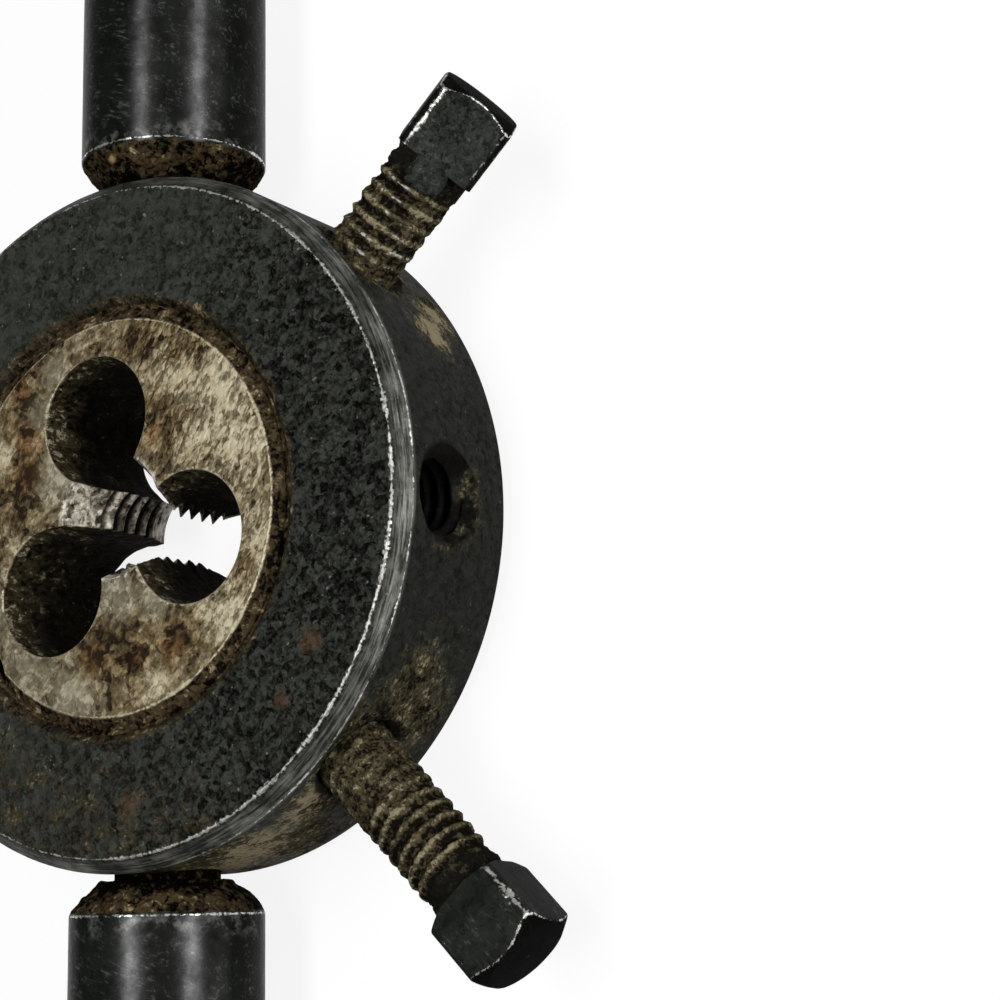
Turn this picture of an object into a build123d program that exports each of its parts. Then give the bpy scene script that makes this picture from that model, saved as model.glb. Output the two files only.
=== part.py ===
from build123d import *
from math import cos, radians, sin, tan
import os

# Die stock with its round threading die, in millimetres.
# The stock lies flat: +Z is the axis of the ring and of the die, with the open face of the die up,
# and the two handles run along +Y and -Y. The origin is the middle of the ring.

# --- stock ring ---
ring_diameter = 41.3
ring_thickness = 11.1
front_bevel_width = 0.83
front_bevel_height = 0.91
back_bevel = 0.75
seat_opening_diameter = 20.8    # hole through the shoulder behind the die
seat_opening_bevel = 0.4
pocket_mouth_bevel = 0.5

# --- round die ---
die_diameter = 25.0
die_thickness = 9.0
die_side_clearance = 0.15
die_rim_bevel_width = 0.75
die_rim_bevel_height = 0.4
lobe_count = 3
lobe_radius = 3.87              # chip-clearance hole
lobe_distance = 6.05            # from the die axis to the middle of a clearance hole
lobe_clocking = 102.5           # degrees from +X to the first clearance hole
thread_minor_radius = 2.45      # inner edge of the M6 x 1 cutting lands
lead_in_radius = 3.7            # tapered start on the open face
lead_in_depth = 3.1
run_out_radius = 3.4            # shorter taper on the back
run_out_depth = 2.4
rim_notch_radius = 1.35         # groove in the rim, in line with one clearance hole
rim_notch_offset = 0.3          # its middle lies this far outside the rim
rim_dimple_radius = 1.4         # cone in the rim for the point of a set screw
rim_dimple_angle = 45.0

# --- set screws and their tapped holes ---
screw_thread_radius = 2.33
screw_clearance = 0.05
screw_spread = 44.5             # degrees from the middle hole to each outer one
screw_clocking = -1.0           # the three holes stand a degree off square to the handles
screw_shank_length = 15.6
screw_point_radius = 0.9
screw_seat_gap = 0.1            # left between the seated point and the bottom of its travel
lower_screw_backed_off = 3.5    # the lower screw stands further out than the seated upper one
head_width = 5.0
head_height = 4.4
head_corner_radius = 3.27
head_crown_radius = 2.45
head_crown_angle = 35.0
head_foot_radius = 2.6
upper_head_turn = 39.0          # how far each square head is turned from square to the ring
lower_head_turn = -3.0
hole_mouth_radius = 3.0

# --- handles ---
handle_diameter = 11.4
handle_reach = 112.5            # from the middle of the ring to the end of a handle
handle_standoff = 2.3           # from the rim of the ring to the full diameter of the handle
shoulder_length = 1.85
shoulder_foot_radius = 3.4
neck_radius = 3.1
neck_clearance = 0.05
neck_tip_gap = 0.75             # the neck stops short of the die
handle_end_fillet = 1.2

# --- worked out from the sizes above ---
ring_radius = ring_diameter / 2
front_z = ring_thickness / 2
back_z = -ring_thickness / 2
seat_z = front_z - die_thickness
die_radius = die_diameter / 2
pocket_radius = die_radius + die_side_clearance
seat_opening_radius = seat_opening_diameter / 2
screw_z = front_z - die_thickness / 2
screw_hole_radius = screw_thread_radius + screw_clearance
screw_angles = {
    "upper": screw_clocking + screw_spread,
    "middle": screw_clocking,
    "lower": screw_clocking - screw_spread,
}
neck_hole_radius = neck_radius + neck_clearance
handle_radius = handle_diameter / 2
cut_margin = 1.0                # cutting bodies reach this far past the faces they cut


def radial_location(angle, distance, height):
    """A place beside the ring axis whose own Z axis points straight out from it."""
    out = Vector(cos(radians(angle)), sin(radians(angle)), 0)
    return Plane(origin=out * distance + Vector(0, 0, height), x_dir=(0, 0, 1), z_dir=out).location


def turned(points):
    """A solid of revolution about Z from (radius, height) points."""
    outline = Polyline([(radius, 0, height) for radius, height in points], close=True)
    return revolve(make_face(outline), Axis.Z, 360)


def tapped_hole(angle):
    """One radial hole through the wall of the ring, with a countersunk mouth."""
    mouth_depth = hole_mouth_radius - screw_hole_radius
    start = pocket_radius - cut_margin - screw_hole_radius
    bore = turned([
        (0, start),
        (screw_hole_radius, start),
        (screw_hole_radius, ring_radius - mouth_depth),
        (hole_mouth_radius, ring_radius),
        (hole_mouth_radius, ring_radius + cut_margin),
        (0, ring_radius + cut_margin),
    ])
    return radial_location(angle, 0, screw_z) * bore


def neck_hole(angle):
    """One radial hole through the wall of the ring for the neck of a handle."""
    length = ring_radius - pocket_radius + 2 * cut_margin + neck_hole_radius
    drill = Cylinder(neck_hole_radius, length, align=(Align.CENTER, Align.CENTER, Align.MAX))
    return radial_location(angle, ring_radius + cut_margin, 0) * drill


def stock_ring():
    body = turned([
        (seat_opening_radius + seat_opening_bevel, back_z),
        (ring_radius - back_bevel, back_z),
        (ring_radius, back_z + back_bevel),
        (ring_radius, front_z - front_bevel_height),
        (ring_radius - front_bevel_width, front_z),
        (pocket_radius + pocket_mouth_bevel, front_z),
        (pocket_radius, front_z - pocket_mouth_bevel),
        (pocket_radius, seat_z),
        (seat_opening_radius, seat_z),
        (seat_opening_radius, back_z + seat_opening_bevel),
    ])
    for angle in screw_angles.values():
        body -= tapped_hole(angle)
    for angle in (90, -90):
        body -= neck_hole(angle)
    return body


def lobe_cutter():
    """One clearance hole: a drilled circle opened into the bore, with a flat cutting face.

    The flat runs straight out from the die axis and meets the circle at a tangent. The other side
    of the opening is the circle itself, so each land is cut back behind its cutting edge.
    """
    tangent_length = (lobe_distance**2 - lobe_radius**2) ** 0.5
    tangent_x = tangent_length**2 / lobe_distance
    tangent_y = -tangent_length * lobe_radius / lobe_distance
    throat = make_face(Polyline([
        (0, 0),
        (tangent_x, tangent_y),
        (lobe_distance, 0),
    ], close=True))
    circle = Pos(lobe_distance, 0) * Circle(lobe_radius)
    height = die_thickness + 2 * cut_margin
    return Pos(0, 0, -cut_margin) * extrude(throat + circle, height)


def threading_die():
    body = turned([
        (0, 0),
        (die_radius - die_rim_bevel_width, 0),
        (die_radius, die_rim_bevel_height),
        (die_radius, die_thickness - die_rim_bevel_height),
        (die_radius - die_rim_bevel_width, die_thickness),
        (0, die_thickness),
    ])
    body -= turned([
        (0, 0),
        (run_out_radius, 0),
        (thread_minor_radius, run_out_depth),
        (thread_minor_radius, die_thickness - lead_in_depth),
        (lead_in_radius, die_thickness),
        (0, die_thickness),
    ])
    for number in range(lobe_count):
        body -= Rot(0, 0, lobe_clocking + number * 360 / lobe_count) * lobe_cutter()
    notch = Cylinder(rim_notch_radius, die_thickness + 2 * cut_margin)
    notch_angle = lobe_clocking + 360 / lobe_count
    body -= Rot(0, 0, notch_angle) * Pos(die_radius + rim_notch_offset, 0, die_thickness / 2) * notch
    body = Pos(0, 0, seat_z) * body
    dimple_depth = rim_dimple_radius / tan(radians(rim_dimple_angle))
    dimple = turned([(0, -dimple_depth), (rim_dimple_radius, 0), (0, 0)])
    for side in ("upper", "lower"):
        body -= radial_location(screw_angles[side], die_radius, screw_z) * dimple
    return body


def set_screw(angle, tip_distance, head_turn):
    """A square-head set screw whose point stands tip_distance from the ring axis."""
    point_height = (screw_thread_radius - screw_point_radius) / tan(radians(rim_dimple_angle))
    shank = turned([
        (0, 0),
        (screw_point_radius, 0),
        (screw_thread_radius, point_height),
        (screw_thread_radius, screw_shank_length),
        (0, screw_shank_length),
    ])
    square = Box(head_width, head_width, head_height, align=(Align.CENTER, Align.CENTER, Align.MIN))
    slope = tan(radians(head_crown_angle))
    crown_height = (head_corner_radius - head_crown_radius) * slope
    foot_height = (head_corner_radius - head_foot_radius) * slope
    blank = turned([
        (0, 0),
        (head_foot_radius, 0),
        (head_corner_radius, foot_height),
        (head_corner_radius, head_height - crown_height),
        (head_crown_radius, head_height),
        (0, head_height),
    ])
    head = Pos(0, 0, screw_shank_length) * Rot(0, 0, head_turn) * (square & blank)
    return radial_location(angle, tip_distance, screw_z) * (shank + head)


def handle(angle):
    """A turned handle: plain grip, rounded shoulder, and a neck that screws into the ring."""
    shoulder_end = ring_radius + handle_standoff
    shoulder_start = shoulder_end - shoulder_length
    neck_tip = pocket_radius + neck_tip_gap
    rounding = 0.5 ** 0.5
    shoulder_height = handle_radius - shoulder_foot_radius
    shoulder = ThreePointArc(
        (shoulder_foot_radius, 0, shoulder_start),
        (
            shoulder_foot_radius + shoulder_height * (0.5 + rounding) / 2,
            0,
            shoulder_start + shoulder_length * (1.5 - rounding) / 2,
        ),
        (handle_radius, 0, shoulder_end),
    )
    rest = Polyline(
        (handle_radius, 0, shoulder_end),
        (handle_radius, 0, handle_reach),
        (0, 0, handle_reach),
        (0, 0, neck_tip),
        (neck_radius, 0, neck_tip),
        (neck_radius, 0, shoulder_start),
        (shoulder_foot_radius, 0, shoulder_start),
    )
    bar = revolve(make_face(Wire([shoulder, *rest.edges()])), Axis.Z, 360)
    end_edge = bar.edges().filter_by(GeomType.CIRCLE).sort_by(Axis.Z)[-1]
    bar = fillet(end_edge, handle_end_fillet)
    return radial_location(angle, 0, 0) * bar


# The cone of the screw point lies against the cone of the dimple in the rim of the die.
dimple_floor = die_radius - rim_dimple_radius / tan(radians(rim_dimple_angle))
seated_tip = dimple_floor + screw_point_radius / tan(radians(rim_dimple_angle)) + screw_seat_gap

pieces = {
    "stock_ring": stock_ring(),
    "threading_die": threading_die(),
    "upper_handle": handle(90),
    "lower_handle": handle(-90),
    "upper_set_screw": set_screw(screw_angles["upper"], seated_tip, upper_head_turn),
    "lower_set_screw": set_screw(
        screw_angles["lower"],
        seated_tip + lower_screw_backed_off,
        lower_head_turn,
    ),
}

os.makedirs("parts", exist_ok=True)
for node, solid in pieces.items():
    export_step(solid, f"parts/{node}.step")
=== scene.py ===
"""Builds the looks of a used die stock around its packed solids.

Every piece is a mesh made here with worked-out outlines, real screw threads and worn edges.
Sizes are in metres, in the frame of the solids: +Z is the axis of the ring and of the die,
the handles run along +Y and -Y, and the set screws stand on the +X side.
"""
from functools import partialmethod

import bpy
import numpy as np
from bpy.props import FloatProperty, FloatVectorProperty, IntProperty, PointerProperty
from mathutils import Matrix, Vector
from mathutils.geometry import delaunay_2d_cdt


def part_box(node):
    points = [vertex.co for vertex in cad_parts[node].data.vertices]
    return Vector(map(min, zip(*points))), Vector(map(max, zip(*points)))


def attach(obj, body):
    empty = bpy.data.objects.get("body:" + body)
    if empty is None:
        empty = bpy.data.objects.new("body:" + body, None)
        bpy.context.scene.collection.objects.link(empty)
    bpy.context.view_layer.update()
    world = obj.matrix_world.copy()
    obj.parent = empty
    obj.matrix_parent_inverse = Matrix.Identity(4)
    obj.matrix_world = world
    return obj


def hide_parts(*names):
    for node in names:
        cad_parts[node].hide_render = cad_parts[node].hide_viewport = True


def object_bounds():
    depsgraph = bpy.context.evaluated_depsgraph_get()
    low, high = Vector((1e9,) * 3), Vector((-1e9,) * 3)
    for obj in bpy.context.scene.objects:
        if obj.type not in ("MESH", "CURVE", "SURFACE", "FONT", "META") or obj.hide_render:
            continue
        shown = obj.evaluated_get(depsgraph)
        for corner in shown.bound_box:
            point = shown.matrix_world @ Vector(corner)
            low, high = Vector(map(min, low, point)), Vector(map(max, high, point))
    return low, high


bl_info = {
    "name": "Die stock",
    "version": (1, 0, 0),
    "blender": (4, 5, 0),
    "location": "3D View > Sidebar > Die stock",
    "description": "A worn die stock with its round threading die and set screws",
    "category": "Add Mesh",
}

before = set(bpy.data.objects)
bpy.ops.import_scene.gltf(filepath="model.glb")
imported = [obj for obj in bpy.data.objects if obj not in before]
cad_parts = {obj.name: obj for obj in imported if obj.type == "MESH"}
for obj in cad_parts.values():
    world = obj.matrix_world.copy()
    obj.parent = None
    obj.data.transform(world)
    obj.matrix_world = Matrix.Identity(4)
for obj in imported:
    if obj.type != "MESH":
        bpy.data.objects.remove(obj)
CAD_LOW, CAD_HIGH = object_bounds()
RING_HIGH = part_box("stock_ring")[1]
DIE_LOW, DIE_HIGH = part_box("threading_die")
HANDLE_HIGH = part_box("upper_handle")[1]

MM = 0.001
TURN = 2 * np.pi
ARC_POINTS = 7
LEAST_PACKING, MOST_PACKING = -0.8, 0.4
SIDES = {"upper": 1, "lower": -1}


# --- settings ---

def length(name, description, value):
    """A length setting, in metres."""
    return FloatProperty(
        name=name, description=description, default=value, unit="LENGTH", precision=5)


def rotation(name, description, degrees):
    """An angle setting, given in degrees."""
    return FloatProperty(
        name=name, description=description, default=np.radians(degrees), unit="ROTATION")


def quantity(name, description, value, least):
    """A whole number setting."""
    return IntProperty(name=name, description=description, default=value, min=least)


def colour(name, description, value):
    """A colour setting."""
    return FloatVectorProperty(
        name=name, description=description, subtype="COLOR", size=4, min=0, max=1,
        default=(*value, 1))


class RingSettings(bpy.types.PropertyGroup):
    """Sizes of the stock ring."""
    radius: length("Radius", "Outer radius of the ring", RING_HIGH.x)
    front: length("Front height", "Height of the open face above the middle of the ring", RING_HIGH.z)
    face_bevel_width: length("Face bevel width", "Width of the bevel round the open face", 0.83 * MM)
    face_bevel_height: length("Face bevel height", "Height of the bevel round the open face", 0.91 * MM)
    back_bevel: length("Back bevel", "Bevel round the back face", 0.75 * MM)
    pocket_radius: length("Pocket radius", "Radius of the pocket that holds the die", 12.65 * MM)
    pocket_bevel: length("Pocket bevel", "Bevel round the mouth of the pocket", 0.5 * MM)
    seat_radius: length("Seat radius", "Radius of the hole behind the die", 10.4 * MM)
    seat_bevel: length("Seat bevel", "Bevel round the hole behind the die", 0.4 * MM)
    edge_round: length("Edge rounding", "How far handling has rounded the edges", 0.11 * MM)
    neck_hole_radius: length("Neck hole radius", "Radius of the holes for the handles", 3.15 * MM)
    columns: quantity("Columns", "Points round the ring", 456, 64)


class DieSettings(bpy.types.PropertyGroup):
    """Sizes of the round die."""
    radius: length("Radius", "Outer radius of the die", DIE_HIGH.x)
    bevel_width: length("Bevel width", "Width of the bevel round the die", 0.75 * MM)
    bevel_height: length("Bevel height", "Height of the bevel round the die", 0.4 * MM)
    lobe_radius: length("Clearance hole radius", "Radius of a chip-clearance hole", 3.87 * MM)
    lobe_distance: length("Clearance hole distance", "From the die axis to a clearance hole", 6.05 * MM)
    lobe_clocking: rotation("Clocking", "Direction of the first clearance hole", 102.5)
    lobe_count: quantity("Clearance holes", "How many clearance holes", 3, 2)
    core_radius: length("Core radius", "Inner edge of the thread on the lands", 2.45 * MM)
    crest_radius: length("Groove radius", "Bottom of the thread grooves in the lands", 2.9 * MM)
    pitch: length("Pitch", "Pitch of the thread on the lands", 1.0 * MM)
    lead_in_radius: length("Lead-in radius", "Radius of the taper at the open face", 3.7 * MM)
    lead_in_depth: length("Lead-in depth", "Depth of the taper at the open face", 3.1 * MM)
    run_out_radius: length("Run-out radius", "Radius of the taper at the back", 3.4 * MM)
    run_out_depth: length("Run-out depth", "Depth of the taper at the back", 2.4 * MM)
    notch_radius: length("Notch radius", "Radius of the groove in the rim", 1.35 * MM)
    notch_offset: length("Notch offset", "How far outside the rim the groove is centred", 0.3 * MM)


class HandleSettings(bpy.types.PropertyGroup):
    """Sizes of the handles."""
    radius: length("Radius", "Radius of a handle", HANDLE_HIGH.x)
    reach: length("Reach", "From the middle of the ring to the end of a handle", HANDLE_HIGH.y)
    neck_start: length("Neck start", "Where the neck ends inside the ring", 13.4 * MM)
    shoulder_start: length("Shoulder start", "Where the shoulder meets the neck", 21.1 * MM)
    shoulder_end: length("Shoulder end", "Where the shoulder reaches the full radius", 22.95 * MM)
    foot_radius: length("Foot radius", "Smaller radius of the shoulder", 3.4 * MM)
    neck_radius: length("Neck radius", "Radius of the neck that screws into the ring", 3.1 * MM)
    end_round: length("End rounding", "Rounding of the free end", 1.2 * MM)
    columns: quantity("Columns", "Points round a handle", 160, 32)


class ScrewSettings(bpy.types.PropertyGroup):
    """Sizes of the set screws."""
    thread_radius: length("Thread radius", "Radius over the crests of the thread", 2.33 * MM)
    groove_depth: length("Groove depth", "Depth of the thread below its crests", 0.4 * MM)
    pitch: length("Pitch", "Pitch of the thread", 25.4 / 28 * MM)
    clearance: length("Clearance", "Radial clearance in the holes", 0.05 * MM)
    mouth_radius: length("Mouth radius", "Radius of the countersink of each hole", 3.0 * MM)
    height: length("Height", "Height of the screws above the middle of the ring", 1.05 * MM)
    spread: rotation("Spread", "Angle from the middle hole to each outer one", 44.5)
    clocking: rotation("Clocking", "Direction of the middle hole", -1.0)
    upper_tip: length("Upper tip", "From the ring axis to the tip of the upper screw", 12.1 * MM)
    lower_tip: length("Lower tip", "From the ring axis to the tip of the lower screw", 15.6 * MM)
    shank: length("Shank", "Length from the tip to the head", 15.6 * MM)
    point_radius: length("Point radius", "Radius of the flat on the tip", 0.9 * MM)
    head_width: length("Head width", "Width of the square head across its flats", 5.0 * MM)
    head_height: length("Head height", "Height of the head", 4.4 * MM)
    corner_radius: length("Corner radius", "Radius over the corners of the head", 3.27 * MM)
    crown_radius: length("Crown radius", "Radius of the flat on the head", 2.45 * MM)
    foot_radius: length("Foot radius", "Radius of the flat under the head", 2.6 * MM)
    crown_slope: rotation("Crown slope", "Slope of the cones that trim the corners", 35.0)
    upper_turn: rotation("Upper turn", "How far the upper head is turned", 39.0)
    lower_turn: rotation("Lower turn", "How far the lower head is turned", -3.0)


class FinishSettings(bpy.types.PropertyGroup):
    """Colours of the finishes."""
    blued: colour("Blued steel", "Blackened steel where it is sound", (0.024, 0.026, 0.0205))
    blued_low: colour("Darker blued steel", "Blackened steel in darker areas", (0.013, 0.0145, 0.011))
    blued_high: colour("Lighter blued steel", "Fine grain of the blackened steel", (0.05, 0.054, 0.045))
    # Also painted shade: the screws' end faces and rounded head corners are darkened to this.
    blued_pit_and_shade: colour("Pits", "Blackened steel in its pits", (0.0015, 0.0017, 0.0013))
    bare: colour("Worn steel", "Steel where an edge has rubbed bare", (0.62, 0.61, 0.57))
    ground: colour("Ground steel", "Clean ground steel of the die", (0.62, 0.555, 0.39))
    tarnish: colour("Tarnish", "Grey-tan tarnish on the die", (0.115, 0.088, 0.05))
    rust: colour("Rust", "Thin brown rust", (0.07, 0.05, 0.025))
    gold: colour("Grains", "Pale grains in the scale", (0.3, 0.24, 0.13))
    red_rust: colour("Red rust", "Fresh red-brown rust", (0.135, 0.066, 0.032))
    # Also painted shade: the ring's outer side, its screw holes and its pocket are darkened towards
    # this colour.
    crust: colour("Crust", "Dark scale in the gaps", (0.0018, 0.0014, 0.001))
    dirt: colour("Dirt", "Olive-brown dirt packed in threads", (0.078, 0.065, 0.036))
    dust: colour("Dust", "Pale tan dust in corners", (0.33, 0.28, 0.17))
    # Also painted shade: the screws' thread grooves are set towards this dark colour.
    grease_and_shade: colour("Grease", "Dark grease between the screws' ridges", (0.0062, 0.0052, 0.0034))
    # Also painted light: the screws' ridges are set towards this pale colour.
    thread_dust_and_light: colour("Thread dust", "Dust on the screws' ridges", (0.25, 0.218, 0.135))
    wiped_low: colour("Dark wipe marks", "Darker streaks on the ring's bevel", (0.022, 0.024, 0.02))
    wiped_high: colour("Light wipe marks", "Lighter streaks on the ring's bevel", (0.3, 0.3, 0.27))
    speck: colour("Specks", "Small bright specks on the ring", (0.26, 0.26, 0.24))
    bar_low: colour("Darker bar", "Handles in their darker areas", (0.0035, 0.0042, 0.003))
    bar_high: colour("Lighter bar", "Handles in their lighter areas", (0.0105, 0.0125, 0.0095))
    bar_rubbed: colour("Rubbed bar", "Rub marks on the handles", (0.17, 0.18, 0.165))
    chunk: colour("Chunks", "Lumps of scale on the upper shoulder", (0.36, 0.24, 0.11))
    # Painted shade: near black laid in the thread grooves of the lands.
    groove: colour("Grooves", "Dirt in the grooves of the lands", (0.009, 0.007, 0.005))
    hole_gap: colour("Hole gaps", "Scale in the clearance holes, in its gaps", (0.0008, 0.0007, 0.0005))
    hole_flake: colour("Hole flakes", "Scale in the clearance holes", (0.05, 0.04, 0.02))
    hole_grain: colour("Hole grains", "Pale grains in the clearance holes", (0.34, 0.3, 0.21))
    # Painted shade: the colour the clearance holes darken towards as they go deeper.
    hole_shade: colour("Deep hole", "The clearance holes far down", (0.001, 0.001, 0.001))
    head_low: colour("Darker head", "Screw heads in their darker areas", (0.008, 0.0095, 0.008))
    head_high: colour("Lighter head", "Screw heads in their lighter areas", (0.022, 0.0245, 0.021))
    # Partly painted light: the lighter grain that makes the upper head brighter than the lower one.
    head_wear_and_light: colour("Worn head", "Worn grain of the upper screw's head", (0.075, 0.082, 0.07))
    head_scuff: colour("Scuffed head", "Scuffs on the screw heads", (0.15, 0.155, 0.138))


class StageSettings(bpy.types.PropertyGroup):
    """The floor, the lamps and the camera."""
    floor_glow: FloatProperty(
        name="Floor glow", description="Part of the floor's white that takes no shadow",
        default=0.87, min=0, max=1)
    floor_grey: FloatProperty(
        name="Floor grey", description="Part of the floor's white that takes the shadow",
        default=0.16, min=0, max=1)
    world_light: FloatProperty(
        name="World light", description="Strength of the light from all round", default=0.17, min=0)
    camera_place: FloatVectorProperty(
        name="Camera", description="Place of the camera", size=3, subtype="TRANSLATION",
        default=(0.082075, -0.02268, 0.098792))
    lens: FloatProperty(
        name="Lens", description="Focal length for a 36 mm sensor", default=76.485)


# --- shapes ---

def hashed(cell):
    """A repeatable value from -1 to 1 for each whole-numbered cell."""
    mixed = cell[..., 0] * 73856093 ^ cell[..., 1] * 19349663 ^ cell[..., 2] * 83492791
    mixed = ((mixed ^ (mixed >> 13)) * 1274126177) & 0x7FFFFFFF
    mixed ^= mixed >> 16
    return (mixed & 0xFFFF) / 32767.5 - 1


def grain(points, size, seed):
    """Smooth repeatable noise from -1 to 1, with bumps about one size across."""
    place = np.asarray(points) / size + seed * 17.31
    corner = np.floor(place).astype(np.int64)
    part = place - corner
    part = part * part * (3 - 2 * part)
    total = 0
    for step in np.ndindex(2, 2, 2):
        weight = np.prod(np.where(step, part, 1 - part), axis=-1)
        total = total + weight * hashed(corner + step)
    return total


def rough(points, size, seed, layers=3):
    """Noise with finer layers on coarser ones."""
    total = sum(grain(points, size / 2**n, seed + n) / 2**n for n in range(layers))
    return total / (2 - 0.5**(layers - 1))


def smooth(value, low, high):
    """0 below low, 1 above high and an easy curve between."""
    share = np.clip((value - low) / (high - low), 0, 1)
    return share * share * (3 - 2 * share)


def lower_of(first, second, softness):
    """The smaller of two distances, rounded where they meet."""
    gap = np.clip(0.5 + 0.5 * (second - first) / softness, 0, 1)
    return second + (first - second) * gap - softness * gap * (1 - gap)


def bell(value, width):
    """1 where a value is 0, easing off to nothing over a few widths."""
    return np.exp(-(value / width) ** 2)


def fading(value, width):
    """1 where a value is 0, with a sharp peak that fades over a few widths."""
    return np.exp(-np.abs(value) / width)


def near(points, spots):
    """How near each point lies to a list of (x, y, z, radius) spots, from 0 to 1."""
    mask = np.zeros(len(points))
    for x, y, z, radius in spots:
        distance = np.linalg.norm(points - np.array((x, y, z)) * MM, axis=1)
        mask = np.maximum(mask, bell(distance, radius * MM))
    return mask


def around_z(radius, angle, height):
    """Points at a radius, an angle and a height."""
    return np.stack((radius * np.cos(angle), radius * np.sin(angle), height + 0 * radius * angle), -1)


def outline(corners, closed=True):
    """Points along an outline of (across, along, rounding, spacing) corners.

    Each corner is rounded, and the run that leaves it is divided by its spacing.
    """
    count = len(corners)
    place = np.array([c[:2] for c in corners], float)
    points, spacings = [], []
    for n, (_, _, radius, spacing) in enumerate(corners):
        here, before, after = place[n], place[n - 1], place[(n + 1) % count]
        arc = [here]
        if radius > 0 and (closed or n not in (0, count - 1)):
            back = (before - here) / np.linalg.norm(before - here)
            on = (after - here) / np.linalg.norm(after - here)
            half = np.arccos(np.clip(back @ on, -1, 1)) / 2
            reach = radius / np.tan(half)
            middle = here + (back + on) / np.linalg.norm(back + on) * radius / np.sin(half)
            first, last = here + back * reach - middle, here + on * reach - middle
            sweep = np.arctan2(first[0] * last[1] - first[1] * last[0], first @ last)
            arc = []
            for turn in sweep * np.linspace(0, 1, ARC_POINTS):
                spin = np.array([[np.cos(turn), -np.sin(turn)], [np.sin(turn), np.cos(turn)]])
                arc.append(middle + spin @ first)
        points += arc
        spacings += [None] * (len(arc) - 1) + [spacing]
    if not closed:
        spacings[-1] = None
    filled = []
    for point, following, spacing in zip(points, points[1:] + points[:1], spacings):
        filled.append(point)
        pieces = int(np.linalg.norm(following - point) / spacing) if spacing else 1
        filled += [point + (following - point) * part / pieces for part in range(1, pieces)]
    return np.array(filled)


def grid_faces(rows, columns, close_rows=False):
    """Faces of a grid whose columns wrap round, and whose rows may."""
    row = np.arange(rows if close_rows else rows - 1)[:, None]
    column = np.arange(columns)[None, :]
    above = (row + 1) % rows
    beside = (column + 1) % columns
    corners = (
        row * columns + column, row * columns + beside,
        above * columns + beside, above * columns + column,
    )
    return np.stack(corners, -1).reshape(-1, 4).tolist()


def capped_faces(rows, columns):
    """Faces of a grid of rings, with a fan at each end to one extra point."""
    faces = grid_faces(rows, columns)
    first, last = rows * columns, rows * columns + 1
    top = (rows - 1) * columns
    for n in range(columns):
        beside = (n + 1) % columns
        faces.append((first, beside, n))
        faces.append((last, top + n, top + beside))
    return faces


def lathe(profile, columns):
    """Rows of points made by turning a (radius, height) profile round Z."""
    angle = np.arange(columns) * TURN / columns
    return around_z(profile[:, :1], angle, profile[:, 1:]).reshape(-1, 3)


def capped_points(rows):
    """Rows of points round Z, and a point on the axis at each end of them."""
    rows = rows.reshape(-1, 3)
    return np.vstack((rows, ((0, 0, rows[0, 2]), (0, 0, rows[-1, 2]))))


def stand(points, angle, height=0.0):
    """Lays points that were made round Z along the direction at an angle round the ring."""
    out = np.array((np.cos(angle), np.sin(angle), 0))
    beside = np.cross(out, (0, 0, 1))
    base = np.stack(((0, 0, 1), beside, out))
    return points @ base + np.array((0, 0, height))


def new_object(name, data):
    """An object in the scene that shows some data."""
    item = bpy.data.objects.new(name, data)
    bpy.context.scene.collection.objects.link(item)
    return item


def new_piece(name, points, faces, material=None):
    """A mesh object from points and faces."""
    mesh = bpy.data.meshes.new(name)
    mesh.from_pydata(np.asarray(points).tolist(), [], faces)
    mesh.shade_smooth()
    if material:
        mesh.materials.append(material)
    return new_object(name, mesh)


def read(mesh, kind="co"):
    """All vertex places of a mesh, or its vertex normals."""
    flat = np.empty(len(mesh.vertices) * 3, np.float32)
    mesh.vertices.foreach_get(kind, flat)
    return flat.reshape(-1, 3).astype(float)


def shift_points(mesh, amount):
    """Moves each vertex along its own normal by an amount."""
    points = read(mesh) + read(mesh, "normal") * amount[:, None]
    mesh.vertices.foreach_set("co", points.astype(np.float32).ravel())
    mesh.update()


def paint(mesh, **masks):
    """Stores named masks on the vertices for the materials to read."""
    for name, mask in masks.items():
        layer = mesh.attributes.new(name, "FLOAT", "POINT")
        layer.data.foreach_set("value", np.clip(mask, 0, 1).astype(np.float32))


def settle(piece, body, slot, *nodes):
    """Puts a piece on its body and lets it stand for its nodes; the slot argument is not used."""
    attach(piece, body)
    if nodes:
        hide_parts(*nodes)


def thread_height(turn):
    """Height of a screw thread at a fraction of a turn: 0 in the groove, 1 on the crest."""
    rise = np.abs((turn % 1) - 0.5) * 2
    return np.clip((rise - 0.2) / 0.62, 0, 1)


# --- materials ---

BROWN_TONES = ((0.0, (0.012, 0.008, 0.004)), (0.4, (0.095, 0.062, 0.025)), (0.95, (0.38, 0.28, 0.14)))
GREY_TONES = ((0.0, (0.035, 0.036, 0.025)), (0.5, (0.17, 0.172, 0.13)), (0.9, (0.45, 0.44, 0.35)))
RED_TONES = ((0.0, (0.02, 0.011, 0.005)), (0.45, (0.16, 0.08, 0.03)), (0.95, (0.38, 0.24, 0.12)))
LAND_TONES = ((0.0, (0.012, 0.01, 0.006)), (0.35, (0.15, 0.133, 0.1)), (0.9, (0.8, 0.74, 0.62)))
SOCKET_KINDS = {"Place": "Vector", "Color": "Color", "Gap": "Color", "Flake": "Color", "Grain": "Color"}


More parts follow.
